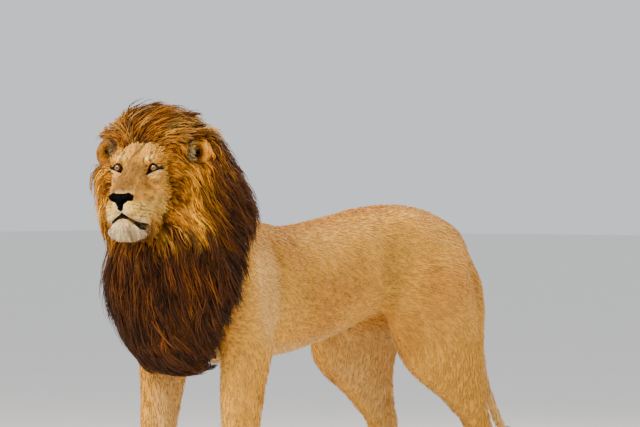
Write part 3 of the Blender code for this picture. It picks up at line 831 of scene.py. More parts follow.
def soft_box(fields: dict[str, Array], *limits: tuple) -> Array:
    """Multiply the shares that several limits give.

    Args:
        fields: each measure's values by name.
        limits: for each, the measure's name and the values at which it starts and is full.

    Returns:
        How far each place lies inside all of them, from 0 to 1.
    """
    total = 1.0
    for name, *ends in limits:
        total = total * (smoothstep(*ends, fields[name]) if ends else fields[name])
    return total


def laid(colour: Array, fields: dict[str, Array], marks: tuple) -> Array:
    """Lay marks over colours.

    Args:
        colour: the colours so far, one to a row.
        fields: each measure's values by name.
        marks: for each, its colour, brightness, strength and limits.

    Returns:
        The new colours.
    """
    for tint, brightness, strength, *limits in marks:
        colour = mix(colour, tint.light * brightness, strength * soft_box(fields, *limits))
    return colour


def plain(tint: Tint, count: int) -> Array:
    """One colour in many rows."""
    return np.repeat(tint.light[None], count, axis=0)


def mirrored(points: Array, axis: int = 1) -> Array:
    """Fold one side of the places over the other."""
    out = points.copy()
    out[:, axis] = np.abs(out[:, axis])
    return out


@dataclass(frozen=True)
class Markings:
    """Colours of skin and coat, worked out from where a hair stands."""

    shoulder: tuple = ((-0.45, 0.80), (0.10, 0.26))      # middle and half sizes of each pale or dark oval
    brow: tuple = ((0.043, 0.030), (0.026, 0.016))
    cheek: tuple = ((0.082, -0.120), (0.045, 0.06))
    under_eye: tuple = ((0.058, -0.038), (0.020, 0.013))
    ear_cup: tuple = ((-0.014, -0.010), (0.021, 0.027))
    ear_rear: tuple = ((0.0, -0.012), (0.036, 0.034))
    scar: tuple[float, float] = (-0.02, 1.025)
    far_ear: float = 0.62                 # brightness of the right ear, which stands in the shade

    def of_body(self, points: Array) -> Array:
        """Colours of trunk, legs and tail at places in the world."""
        x, y, z = points.T
        fields = noises(points, BODY_NOISES) | {"x": x, "y": y, "z": z, "across": np.abs(x)}
        fields["shoulder"] = oval(y, z, *self.shoulder)
        fields["scar"] = np.hypot(y - self.scar[0], z - self.scar[1])
        colour = laid(plain(Tint.SAND, len(points)), fields, BODY_MARKS)
        colour = colour * (1.0 - 0.13 * smoothstep(0.25, 0.60, y))[:, None]
        colour = laid(colour, fields, TAIL_MARKS)
        # painted shade and light: the coat is darker in the hollows between the muscles and lighter on their
        # rises
        relief = np.clip(13.0 * body_relief(points), -0.24, 0.14)
        return colour * (1.0 + 0.06 * fields["fine"] + 0.05 * fields["broad"] + relief)[:, None]

    def of_face(self, points: Array) -> Array:
        """Colours of the head at places in the head's own directions."""
        both = mirrored(points)
        fields = noises(points, FACE_NOISES) | dict(zip(("ahead", "side", "height"), both.T))
        broad, side, v = fields["broad"], fields["side"], fields["height"]
        fields |= {
            "crown": v + 0.012 * broad,
            "ragged": v + 0.004 * broad,
            "beard": v + 0.006 * broad,
            "dusk": 0.78 + 0.26 * broad,
            "rim": LIE.ring(points) + 0.05 * broad,
            "stroke": np.sin(570.0 * points[:, 1] + 3.0 * broad + 40.0 * v),
            "lip": np.minimum(side, v - MOUTH.bounds(both)[0] + 0.004),
            "over_nose": np.abs(v + 0.0805),
            "brow": oval(side, v, *self.brow),
            "cheek": oval(side, v, *self.cheek),
            "under_eye": oval(side, v, *self.under_eye),
            "pad": soft_box(fields, ("ahead", 0.045, 0.075), ("height", -0.094, -0.118)),
        }
        fields["off_pad"] = 1.0 - 0.6 * fields["pad"]
        colour = laid(plain(Tint.FACE, len(points)), fields, FACE_MARKS)
        chin = laid(plain(Tint.WHITE, len(points)), fields, CHIN_MARKS)
        on_chin = soft_box(fields, ("ragged", -0.162, -0.176), ("ahead", -0.01, 0.04))
        colour = mix(colour, chin, 0.95 * on_chin)
        colour = self.lines(both, points, colour, fields)
        return colour * (1.0 + 0.14 * fields["fine"] + 0.24 * fields["streak"] + 0.10 * broad)[:, None]

    def lines(self, both: Array, points: Array, colour: Array, fields: dict[str, Array]) -> Array:
        """Add the dark lines and spots of eyes, mouth, brow and whisker rows.

        Args:
            both: places with the right side folded over the left.
            points: the same places unfolded.
            colour: the colours so far.
            fields: each measure's values by name.

        Returns:
            The colours with the marks.
        """
        from_front = np.array((0.0, 1.0, 1.0))
        side, v = both[:, 1], both[:, 2]
        tear, tear_along = line_distance(both * from_front, TEAR)
        crease, crease_along = line_distance(points * from_front, CREASE)
        fields = fields | {
            "tear": tear,
            "tear_fade": 1.0 - 0.9 * tear_along,
            "crease": crease,
            "crease_fade": 0.80 - 0.45 * crease_along,
            "furrow": line_distance(points * from_front, FURROW)[0],
            "split": line_distance(both, LIP_SPLIT)[0],
            "stripe": EYES.stripe(both),
            "almond": EYES.dark(both),
            "mouth": MOUTH.share(both),
        }
        for line, wide in DASHES:
            dash, _ = line_distance(both * from_front, line)
            share = smoothstep(wide, wide * 0.3, dash) * soft_box(fields, ("ahead", -0.13, -0.11))
            colour = mix(colour, Tint.BROWN.light, DASH_STRENGTH * share)
        for number, height in enumerate(WHISKER_ROWS.heights(side)):
            phase = (side - WHISKER_ROWS.first - 0.002 * number) / WHISKER_ROWS.step
            near = np.hypot((phase - np.clip(np.round(phase), 0, 4)) * WHISKER_ROWS.step, v - height)
            spot = smoothstep(*SPOT_EDGE, near) * (both[:, 0] > 0.045)
            colour = mix(colour, Tint.BROWN.light, SPOT_STRENGTH * spot)
        return laid(colour, fields, LINE_MARKS)

    def of_mane(self, points: Array, stray: Array | float = 0.0) -> Array:
        """Colours of the mane at places in the world.

        Args:
            points: places, one to a row.
            stray: how far each lock's colour strays from its place, in metres.

        Returns:
            The colours.
        """
        f, l, v = HEAD.to_head(points).T
        fields = noises(points, MANE_NOISES) | {"ahead": f, "height": v}
        lump, streak = fields["lump"], fields["streak"]
        behind = -f + 0.03 * lump + 0.012 * streak + stray
        reach = 0.962 * np.abs(l) - 0.272 * f
        outside = reach + 0.026 * lump + 0.012 * streak + 0.6 * stray + 0.040 * smoothstep(-0.09, -0.20, v)
        throat = smoothstep(-0.160, -0.248, v + 0.02 * lump + 0.5 * stray - 0.02 * smoothstep(0.05, 0.12, l))
        top = smoothstep(0.150, 0.190, v + 0.3 * stray + 0.012 * lump) * smoothstep(0.08, 0.15, -f)
        dark = smoothstep(0.118, 0.215, behind - 0.06 * smoothstep(0.08, 0.17, v))
        dark = np.maximum.reduce([dark, throat, 0.8 * top, 0.95 * smoothstep(0.212, 0.262, outside)])
        gold = mix(plain(Tint.GOLD, len(points)), Tint.GOLD_PALE.light,
                   smoothstep(-0.2, 0.9, streak + 0.4 * lump) * 0.75)
        gold = mix(gold, Tint.GOLD_DEEP.light, smoothstep(0.35, 0.9, -lump - 0.5 * streak) * 0.8)
        fawn = smoothstep(-0.40, -0.20, v) * smoothstep(-0.25, -0.10, f)
        deep = mix(plain(Tint.UMBER, len(points)), Tint.CHESTNUT.light,
                   smoothstep(-0.30 - 0.6 * fawn, 0.95, lump * 0.6 + streak * 0.6) * 0.9)
        between = 1.0 - np.abs(dark * 2.0 - 1.0)
        nape = smoothstep(0.16, 0.26, behind) * smoothstep(-0.22, -0.12, v)
        fields |= {
            "turning": 0.40 * between + 0.26 * nape * (1.0 - between),
            # where the painted strip of sunlight lies, beside each cheek
            "strip": bell(reach, 0.180, 0.021) * smoothstep(-0.24, -0.18, v) * smoothstep(0.07, 0.02, v),
            "light": 1.0 - dark,
            "crown": smoothstep(0.07, 0.11, v) * (1.0 - 0.7 * dark),
            "shade": fields["grain"] + 0.6 * streak,
        }
        return laid(mix(gold, deep, dark), fields, MANE_MARKS)

    def of_ear(self, points: Array, normals: Array) -> Array:
        """Colours of an ear at places in the world: golden outside, with painted shade darkening the cup."""
        colour = mix(plain(Tint.GOLD, len(points)), Tint.GOLD_PALE.light,
                     smoothstep(-0.3, 0.8, lattice_noise(points, 0.02, 25)) * 0.5)
        forward = normals @ HEAD.turn(np.array((1.0, 0.0, 0.0)))
        local = HEAD.to_head(points)
        for node, sign in EARS:
            middle = HEAD.node(node)
            out, up = (local[:, 1] - middle[1]) * sign, local[:, 2] - middle[2]
            near = np.hypot(out, up) < 0.09
            # painted shade: the skin inside the cup is darkened as the shade within the ear
            cup = smoothstep(1.15, 0.85, oval(out, up, *self.ear_cup)) * smoothstep(-0.1, 0.3, forward)
            rear = smoothstep(1.1, 0.7, oval(out, up, *self.ear_rear)) * smoothstep(-0.2, -0.6, forward)
            for share in (0.92 * cup, 0.80 * rear):
                colour = mix(colour, Tint.UMBER.light, share * near)
        return colour * np.where(local[:, 1] < 0.0, self.far_ear, 1.0)[:, None]


MARKS = Markings()


# ---------------------------------------------------------------- the lie of the coat
@dataclass(frozen=True)
class Lie:
    """Which way the hair runs at each place."""

    nose_tip: tuple[float, float, float] = (0.150, 0.0, -0.092)
    face_middle: float = -0.055           # height of the face's middle
    face_size: tuple[float, float] = (0.092, 0.148)

    def ring(self, local: Array) -> Array:
        """How far out from the face's middle a place is: 1 at the face's edge."""
        return oval(local[:, 1], local[:, 2], (0.0, self.face_middle), self.face_size)

    def of_body(self, points: Array, normals: Array) -> Array:
        """From head to tail on the trunk, and down the legs and tail."""
        y, z = points[:, 1], points[:, 2]
        down = np.maximum(smoothstep(0.74, 0.52, z), smoothstep(0.50, 0.68, y) * 0.8)
        way = np.stack([np.zeros(len(points)), 1.0 - 0.92 * down, -0.28 - 0.9 * down], axis=1)
        way += 0.16 * noise_field(points, 0.10, 31)
        return flatten(way, normals)

    def of_face(self, points: Array, normals: Array) -> Array:
        """Away from the tip of the nose."""
        local = HEAD.to_head(points)
        way = local - np.array(self.nose_tip)
        way[:, 2] *= 0.8
        way = HEAD.turn(way) * 6.0
        way += 0.10 * noise_field(points, 0.03, 35)
        return flatten(way, normals)

    def of_mane(self, points: Array, normals: Array) -> Array:
        """Out from the face, swept over the crown, and down on cheeks, neck and chest."""
        f, l, v = HEAD.to_head(points).T
        count = len(points)
        across, rise = l / self.face_size[0], (v - self.face_middle) / self.face_size[1]
        ring = np.hypot(across, rise)
        near = smoothstep(1.75, 1.05, ring) * smoothstep(-0.22, -0.12, f)
        out = unit(HEAD.turn(np.stack([np.full(count, -0.45), across, rise], axis=1)))
        behind = smoothstep(0.12, 0.26, -f)
        down = np.stack([0.10 * np.sign(points[:, 0]), 0.22 + 0.35 * behind, np.full(count, -1.0)], axis=1)
        side_way = 1.1 * near[:, None] * out + (1.0 - 0.55 * near)[:, None] * down
        side_way = side_way + (0.45 * behind)[:, None] * WIND
        over = HEAD.turn(np.stack([np.full(count, -0.55), np.zeros(count), np.full(count, 0.20)], axis=1))
        blown = 0.05 + 0.90 * smoothstep(-0.075, 0.020, l)
        crown_way = ((0.55 + 0.75 * (1.0 - blown)) * near)[:, None] * out + over + blown[:, None] * WIND
        way = mix(side_way, crown_way, smoothstep(0.045, 0.120, v) * smoothstep(0.34, 0.22, -f))
        way = way + 0.30 * noise_field(points, 0.075, 41) + 0.20 * noise_field(points, 0.024, 45)
        return flatten(way, normals)


LIE = Lie()


# ---------------------------------------------------------------- materials
def fill(tree: bpy.types.NodeTree, node: bpy.types.Node, inputs: dict) -> None:
    """Give a node's inputs their values, or link them to outputs.

    Args:
        tree: the material's node tree.
        node: the node.
        inputs: for each input, a value, or an output to link.
    """
    for name, value in inputs.items():
        if isinstance(value, bpy.types.NodeSocket):
            tree.links.new(value, node.inputs[name])
        else:
            node.inputs[name].default_value = value


def add_node(tree: bpy.types.NodeTree, kind: str, settings: dict | None = None,
             inputs: dict | None = None) -> bpy.types.Node:
    """Add a node with its settings, values and links.

    Args:
        tree: the material's node tree.
        kind: the node's type, without its first word.
        settings: properties of the node.
        inputs: for each input, a value, or an output to link.

    Returns:
        The new node.
    """
    node = tree.nodes.new("ShaderNode" + kind)
    for name, value in (settings or {}).items():
        setattr(node, name, value)
    fill(tree, node, inputs or {})
    return node


def place_on(tree: bpy.types.NodeTree) -> bpy.types.NodeSocket:
    """Places in metres, the same on every piece."""
    return add_node(tree, "TexCoord").outputs["Object"]


def per_metre(width_mm: float) -> float:
    """A pattern's scale from its width in millimetres."""
    return 1.0 / (width_mm * MILLIMETRE)


def toned(tree: bpy.types.NodeTree, share: bpy.types.NodeSocket, first: Array,
          second: Array) -> bpy.types.NodeSocket:
    """Blend two colours in linear light by a pattern.

    Args:
        tree: the material's node tree.
        share: the pattern.
        first: the colour where it is 0.
        second: the colour where it is 1.

    Returns:
        The blended colour.
    """
    return add_node(tree, "Mix", {"data_type": "RGBA"}, {
        0: share, 6: (*first, 1.0), 7: (*second, 1.0)}).outputs[2]


def new_material(name: str) -> tuple[bpy.types.Material, bpy.types.NodeTree, bpy.types.Node]:
    """A material with an empty Principled shader.

    Args:
        name: what the real material is.

    Returns:
        The material, its tree and its shader.
    """
    material = bpy.data.materials.new(name)
    material.use_nodes = True
    tree = material.node_tree
    return material, tree, tree.nodes["Principled BSDF"]


@dataclass(frozen=True)
class CoatFinish:
    """Keratin hair: colour from the markings, broken up strand by strand, with a soft sheen."""

    name: str
    roughness: float = 0.62
    sheen: float = 0.06
    lump_mm: float = 9.0                  # width of the patches of lighter and darker hair
    strand_mm: float = 1.6                # drawn coarser than a real hair, so that it shows
    bump: float = 0.0                     # depth of the strands where the coat is only bump
    contrast: float = 0.30
    shine: float = 0.22

    def make(self) -> bpy.types.Material:
        """Build the material."""
        material, tree, shader = new_material(self.name)
        place = place_on(tree)
        coat = add_node(tree, "Attribute", {"attribute_name": "Coat"}).outputs["Color"]
        along = add_node(tree, "Mapping", inputs={"Vector": place, "Scale": (1.0, 0.22, 0.55)})
        strand = add_node(tree, "TexNoise", inputs={
            "Vector": along.outputs["Vector"], "Scale": per_metre(self.strand_mm), "Detail": 2.0})
        lump = add_node(tree, "TexNoise", inputs={
            "Vector": place, "Scale": per_metre(self.lump_mm), "Detail": 3.0})
        both = add_node(tree, "Math", {"operation": "ADD"}, {
            0: strand.outputs["Fac"], 1: lump.outputs["Fac"]}).outputs["Value"]
        shade = add_node(tree, "MapRange", inputs={
            "Value": both, "From Min": 0.6, "From Max": 1.4,
            "To Min": 1.0 - self.contrast, "To Max": 1.0 + self.contrast})
        tinted = add_node(tree, "VectorMath", {"operation": "SCALE"}, {
            0: coat, "Scale": shade.outputs["Result"]})
        fill(tree, shader, {"Base Color": tinted.outputs["Vector"], "Roughness": self.roughness,
                            "Sheen Weight": self.sheen, "Specular IOR Level": self.shine})
        if self.bump:
            relief = add_node(tree, "Bump", inputs={
                "Height": both, "Strength": 0.7, "Distance": self.bump})
            fill(tree, shader, {"Normal": relief.outputs["Normal"]})
        return material


@dataclass(frozen=True)
class WetFinish:
    """Bare skin or horn with a wet or polished film: nose leather, claws, whiskers."""

    name: str
    colour: str
    lighter: str
    roughness: float
    gloss: float = 0.0
    grain_mm: float = 1.2
    relief: float = 0.0004

    def make(self) -> bpy.types.Material:
        """Build the material."""
        material, tree, shader = new_material(self.name)
        place = place_on(tree)
        cells = add_node(tree, "TexVoronoi", inputs={"Vector": place, "Scale": per_metre(self.grain_mm)})
        cloud = add_node(tree, "TexNoise", inputs={
            "Vector": place, "Scale": 0.12 * per_metre(self.grain_mm), "Detail": 3.0})
        relief = add_node(tree, "Bump", inputs={
            "Height": cells.outputs["Distance"], "Strength": 0.6, "Distance": self.relief})
        fill(tree, shader, {
            "Base Color": toned(tree, cloud.outputs["Fac"], srgb(self.colour), srgb(self.lighter)),
            "Roughness": self.roughness, "Specular IOR Level": 0.03, "Coat Weight": self.gloss,
            "Coat Roughness": 0.2, "Normal": relief.outputs["Normal"]})
        return material


@dataclass(frozen=True)
class EyeFinish:
    """A wet eyeball: black pupil, amber iris with fine rays, dark rim, under a clear cornea."""

    name: str = "wet_eyeball"
    rays_per_metre: float = 900.0
    stops: tuple[tuple[float, str], ...] = (
        (0.0, "010101"), (0.110, "010101"), (0.135, "3A2408"), (0.22, "8C6A34"),
        (0.38, "6E4A1A"), (0.46, "2E1A06"), (0.52, "050302"), (1.0, "050302"),
    )

    def make(self) -> bpy.types.Material:
        """Build the material from the angle that is stored at each vertex."""
        material, tree, shader = new_material(self.name)
        angle = add_node(tree, "Attribute", {"attribute_name": "Angle"}).outputs["Fac"]
        rays = add_node(tree, "TexNoise", inputs={
            "Vector": place_on(tree), "Scale": self.rays_per_metre, "Detail": 2.0})
        shifted = add_node(tree, "Math", {"operation": "MULTIPLY_ADD"}, {
            0: rays.outputs["Fac"], 1: 0.05, 2: angle})
        ramp = add_node(tree, "ValToRGB", inputs={"Fac": shifted.outputs["Value"]})
        elements = ramp.color_ramp.elements
        while len(elements) < len(self.stops):
            elements.new(0.5)
        for element, (position, code) in zip(elements, self.stops):
            element.position = position
            element.color = (*srgb(code), 1.0)
        fill(tree, shader, {"Base Color": ramp.outputs["Color"], "Roughness": 0.25,
                            "Coat Weight": 0.16, "Coat Roughness": 0.10})
        return material


# ---------------------------------------------------------------- skin
# Forms under the short coat of the trunk: middle, half sizes, how far the skin rises
MUSCLES = (
    ((0.165, -0.500, 0.840), (0.050, 0.060, 0.150), 0.0119),
    ((0.180, -0.430, 0.700), (0.050, 0.050, 0.080), 0.0102),
    ((0.110, -0.400, 1.040), (0.050, 0.050, 0.060), 0.0119),
    ((0.190, -0.375, 0.880), (0.060, 0.024, 0.160), -0.0085),
    ((0.190, -0.250, 0.820), (0.060, 0.040, 0.130), -0.0050),
    ((0.170, 0.190, 0.860), (0.070, 0.060, 0.110), -0.0170),
    ((0.100, 0.290, 1.020), (0.045, 0.050, 0.035), 0.0136),
    ((0.185, 0.410, 0.800), (0.060, 0.100, 0.120), 0.0102),
    ((0.160, 0.560, 0.780), (0.060, 0.022, 0.140), -0.0102),
    ((0.140, 0.150, 0.690), (0.050, 0.080, 0.030), 0.0102),
    ((0.000, 0.100, 1.050), (0.014, 0.450, 0.050), 0.0051),
)
# Forms of the face on the folded head: middle, half sizes, how far the skin rises
FACE_FORMS = (
    ((0.000, 0.050, 0.024), (0.026, 0.024, 0.0085), 0.0050),
    ((0.006, 0.026, 0.014), (0.020, 0.009, 0.011), 0.0030),
    ((-0.012, 0.078, 0.016), (0.020, 0.012, 0.010), 0.0030),
    ((0.008, 0.033, -0.016), (0.016, 0.010, 0.016), -0.0040),
    ((-0.010, 0.066, -0.030), (0.026, 0.020, 0.010), 0.0030),
    ((0.040, 0.048, -0.066), (0.036, 0.011, 0.020), -0.0030),
    ((-0.040, 0.000, 0.062), (0.040, 0.007, 0.040), -0.0035),
    ((-0.040, 0.034, 0.066), (0.040, 0.020, 0.024), 0.0030),
    ((0.060, 0.034, -0.036), (0.044, 0.008, 0.014), 0.0025),
    ((0.060, 0.000, -0.026), (0.050, 0.018, 0.018), -0.0015),
    ((0.100, 0.030, -0.126), (0.028, 0.016, 0.018), 0.0040),
    ((0.060, 0.054, -0.154), (0.026, 0.012, 0.012), 0.0025),
    ((0.112, 0.042, -0.098), (0.016, 0.006, 0.010), -0.0030),
    ((0.050, 0.062, -0.115), (0.030, 0.008, 0.022), -0.0025),
    ((0.080, 0.030, -0.196), (0.024, 0.022, 0.014), 0.0020),
    ((0.090, 0.000, -0.190), (0.020, 0.006, 0.018), -0.0015),
)


# Forms of the legs, from a point over the ankle: middle, half sizes, how far the skin rises
LEG_FORMS = {
    Limb.FORE: (
        ((0.000, -0.040, 0.165), (0.040, 0.030, 0.035), 0.0045),
        ((0.000, 0.046, 0.180), (0.020, 0.020, 0.018), 0.0080),
        ((0.000, 0.000, 0.235), (0.060, 0.060, 0.030), -0.0035),
        ((0.045, 0.010, 0.380), (0.020, 0.013, 0.110), -0.0060),
        ((-0.045, 0.010, 0.380), (0.020, 0.013, 0.110), -0.0060),
        ((0.000, -0.040, 0.460), (0.045, 0.030, 0.090), 0.0080),
        ((0.000, 0.095, 0.600), (0.040, 0.035, 0.040), 0.0100),
    ),
    Limb.HIND: (
        ((0.000, 0.088, 0.345), (0.030, 0.028, 0.030), 0.0080),
        ((0.036, 0.036, 0.415), (0.022, 0.020, 0.050), -0.0100),
        ((-0.036, 0.036, 0.415), (0.022, 0.020, 0.050), -0.0100),
        ((0.040, 0.022, 0.260), (0.016, 0.014, 0.070), -0.0045),
        ((-0.040, 0.022, 0.260), (0.016, 0.014, 0.070), -0.0045),
        ((0.000, -0.030, 0.150), (0.036, 0.030, 0.030), 0.0040),
    ),
}


def raised(points: Array, forms: tuple) -> Array:
    """Add up soft mounds and hollows.

    Args:
        points: places, folded to one side.
        forms: for each, its middle, half sizes and height.

    Returns:
        How far the skin rises at each place.
    """
    total = np.zeros(len(points))
    for centre, size, amount in forms:
        away = (points - np.array(centre)) / np.array(size)
        total += amount * np.exp(-np.sum(away ** 2, axis=1))
    return total


def body_relief(points: Array) -> Array:
    """How far the muscles of trunk and legs raise the skin at places in the world."""
    total = raised(mirrored(points, 0), MUSCLES)
    for paw in PAWS:
        total = total + raised(points - np.array((paw.middle, paw.ankle, 0.0)), LEG_FORMS[paw.kind])
    return total


@dataclass
class Skin:
    """One skin over the whole animal, with the face's own forms."""

    trunk_voxel: float = 0.0095
    head_voxel: float = 0.0034
    paw_voxel: float = 0.0035
    ear_voxel: float = 0.0030
    swell: float = 0.001
    paw_top: float = 0.105
    rib_step: float = 0.058               # from one rib to the next
    lid: float = 0.0022                   # thickness of an eyelid over the ball
    lid_blend: float = 0.0022             # how softly the lid runs into the face
    triangles: tuple[int, ...] = (72000, 112000, 5500, 5500)      # of trunk, head and ears

    def build(self) -> Item:
        """Melt the solids of flesh into one skin that lies inside them.

        Returns:
            The skin.
        """
        parts = [self.trunk(), self.head(), *(self.ear(node) for node in EAR_NODES)]
        for part, count in zip(parts, self.triangles):
            thin(part, count, self.fine(part))
        colours = [self.colours(part) for part in parts]
        skin = joined(parts, "skin")
        paint(skin, np.concatenate(colours))
        finish(skin, CoatFinish("short_fur_underlay", sheen=0.02, bump=0.0010, contrast=0.16,
                                shine=0.08).make())
        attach(skin, "root")
        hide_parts(*HEAD_NODES, *TRUNK_NODES[1:], *LIMB_NODES, *TAIL_NODES, *EAR_NODES)
        return skin

    def fine(self, part: Item) -> Array | None:
        """True at a part's vertices round eyes, mouth and nose, or None where it has none of them."""
        if not part.name.startswith("head"):
            return None
        both = mirrored(HEAD.to_head(corners_of(part)))
        eye = np.hypot(both[:, 1] - EYES.side, both[:, 2]) < 0.027
        mouth = (MOUTH.inside(both) > -0.004) & (both[:, 0] > 0.02) & (both[:, 1] < 0.074)
        return (both[:, 0] > -0.05) & (eye | mouth)

    def trunk(self) -> Item:
        """Trunk, legs and tail, with muscles and toes, drawn in by the depth of their coat."""
        trunk = melted_nodes("trunk", TRUNK_NODES + LIMB_NODES + TAIL_NODES, self.trunk_voxel, self.swell)
        relax(trunk, 10)
        places = corners_of(trunk)
        x, y, z = places.T
        ribs = np.sin((y + 0.35 * z) * 2 * math.pi / self.rib_step)
        cage = smoothstep(0.30, 0.10, np.abs(y + 0.06)) * smoothstep(0.70, 0.78, z)
        cage = cage * smoothstep(0.98, 0.90, z) * smoothstep(0.08, 0.14, np.abs(x))
        push_out(trunk, body_relief(places) + 0.0022 * ribs * cage + 0.0025 * lattice_noise(places, 0.07, 71))
        refine(trunk, corners_of(trunk)[:, 2] < self.paw_top)
        self.shape_paws(trunk)
        places = corners_of(trunk)
        toes = np.any([paw.holds(places, 0.40, 1.1) for paw in PAWS], axis=0)
        refine(trunk, toes & (places[:, 2] < 0.095))
        places, normals = corners_of(trunk), normals_of(trunk)
        places = places + normals * sum(paw.relief(places) for paw in PAWS)[:, None]
        z = places[:, 2]
        depth = 0.0025 + 0.0035 * smoothstep(0.05, 0.60, z) + self.swell * smoothstep(0.02, 0.12, z)
        moved = places - normals * depth[:, None]
        moved[:, 2] = np.maximum(moved[:, 2], 0.0006)
        set_corners(trunk, moved)
        return trunk

    def shape_paws(self, trunk: Item) -> None:
        """Lay the lowest part of the skin on the toes' own shapes."""
        nodes = tuple(node for node in LIMB_NODES if "paw" in node)
        paws = melted_nodes("paws", nodes, self.paw_voxel, 0.0004, one_part=False)
        relax(paws, 4)
        places = corners_of(trunk)
        low = np.nonzero(places[:, 2] < self.paw_top)[0]
        found, _, _ = Surface.of(paws).nearest(places[low])
        share = smoothstep(self.paw_top, self.paw_top - 0.030, places[low, 2])
        places[low] = mix(places[low], found, share)
        set_corners(trunk, places)
        remove(paws)

    def head(self) -> Item:
        """Head, jaw and neck, drawn in by the depth of their coat and modelled."""
        head = melted_nodes("head_skin", HEAD_NODES, self.head_voxel, self.swell)
        relax(head, 14)
        local = HEAD.to_head(corners_of(head))
        refine(head, (local[:, 0] > -0.100) & (np.abs(local[:, 1]) < 0.115) & (local[:, 2] < 0.12))
        local = HEAD.to_head(corners_of(head))
        relax(head, 6, share=smoothstep(-0.105, -0.085, local[:, 0]))
        f = HEAD.to_head(corners_of(head))[:, 0]
        depth = 0.0016 + 0.0050 * smoothstep(0.05, -0.10, f) + self.swell
        push_out(head, -(depth + 0.022 * smoothstep(-0.19, -0.26, f)))
        both = mirrored(HEAD.to_head(corners_of(head)))
        eye = (np.hypot(both[:, 1] - EYES.side, both[:, 2]) < 0.034) & (both[:, 0] > -0.05)
        mouth = (MOUTH.inside(both) > -0.008) & (both[:, 0] > 0.02)
        nose = (both[:, 0] > 0.10) & (both[:, 1] < 0.05) & (both[:, 2] > -0.150)
        refine(head, eye | mouth | nose)
        self.model_face(head)
        self.model_eyes(head)
        return head

    def model_face(self, head: Item) -> None:
        """Raise and press the skin into brows, furrows, lips and whisker pads."""
        local = HEAD.to_head(corners_of(head))
        both = mirrored(local)
        f, side, v = both.T
        push = raised(both, FACE_FORMS)
        top, low = MOUTH.bounds(both)
        slit = bell(np.clip((top - v) / (top - low), -0.5, 1.5), 0.25, 0.40) * smoothstep(0.074, 0.066, side)
        push -= 0.0080 * (slit * smoothstep(MOUTH.back, MOUTH.back + 0.012, f))
        lip = bell(v - top, 0.004, 0.004) * smoothstep(0.03, 0.05, f) * smoothstep(0.075, 0.060, side)
        push += 0.0016 * lip
        split, _ = line_distance(both, np.array(((0.142, 0.0, -0.115), (0.132, 0.0, -0.145))))
        push -= 0.0042 * bell(split, 0.0, 0.0036)
        crease, _ = line_distance(local * np.array((0.0, 1.0, 1.0)), CREASE)
        push -= 0.0034 * bell(crease, 0.0, 0.0055) * smoothstep(-0.13, -0.11, f)
        for height in WHISKER_ROWS.heights(side):
            row = bell(v, height, 0.0024) * smoothstep(0.045, 0.065, f)
            push -= 0.0010 * row * smoothstep(0.016, 0.024, side)
        off_eyes = smoothstep(0.02, 0.04, np.hypot(side - EYES.side, v))
        push += 0.0010 * lattice_noise(local, 0.016, 75) * off_eyes
        push_out(head, push)

    def model_eyes(self, head: Item) -> None:
        """Form sockets, lids and the openings between them."""
        local = HEAD.to_head(corners_of(head))
        both = mirrored(local)
        a, b = both[:, 1] - EYES.side, both[:, 2]
        away = np.hypot(a, b)
        near = (local[:, 0] > -0.05) & (away < 0.045)
        skin = local[:, 0] - 0.0050 * bell(away, 0.0, 0.021)
        lid, ball = (np.sqrt(np.maximum(reach ** 2 - a ** 2 - b ** 2, 0.0)) - EYES.ball_back
                     for reach in (EYES.radius + self.lid, EYES.radius))
        lid = np.where(away < EYES.radius + self.lid, lid, -1.0)
        over = np.maximum(skin, lid) + self.lid_blend * np.log1p(np.exp(-np.abs(skin - lid) / self.lid_blend))
        almond = EYES.inside(both)
        fold = -0.0014 * bell(almond, -0.0032, 0.0015)
        depth = np.where((almond > EYES.margin) & (away < 0.0170), ball - 0.0045, over + fold)
        share = smoothstep(0.045, 0.030, away)
        local[:, 0] = np.where(near, mix(local[:, :1], depth[:, None], share)[:, 0], local[:, 0])
        set_corners(head, HEAD.to_world(local))

    def ear(self, node: str) -> Item:
        """One ear's cup, melted from its solid and softened."""
        ear = melted_nodes(node + "_skin", (node,), self.ear_voxel, 0.0003)
        relax(ear, 10)
        push_out(ear, -0.0012)
        return ear

    def colours(self, part: Item) -> Array:
        """Markings at the skin's own vertices."""
        places = corners_of(part)
        if part.name.startswith("trunk"):
            return MARKS.of_body(places)
        if part.name.startswith("ear"):
            return MARKS.of_ear(places, normals_of(part))
        local = HEAD.to_head(places)
        return mix(MARKS.of_face(local), MARKS.of_body(places), smoothstep(-0.16, -0.20, local[:, 0]))


# ---------------------------------------------------------------- tufts
@dataclass
class Locks:
    """Many locks of hair, one to a row."""

    paths: Array                     # points from root to tip, (locks, points, 3)
    normals: Array                   # the way up at each lock's root
    widths: Array                    # half widths at each point but the tip, (locks, points - 1)
    thickness: Array                 # thickness of each lock at its thickest
    colours: Array                   # a colour at each point, (locks, points, 3)

    def only(self, chosen: Array) -> "Locks":
        """Some of the locks, by their numbers or by true and false."""
        return Locks(self.paths[chosen], self.normals[chosen], self.widths[chosen], self.thickness[chosen],
                     self.colours[chosen])


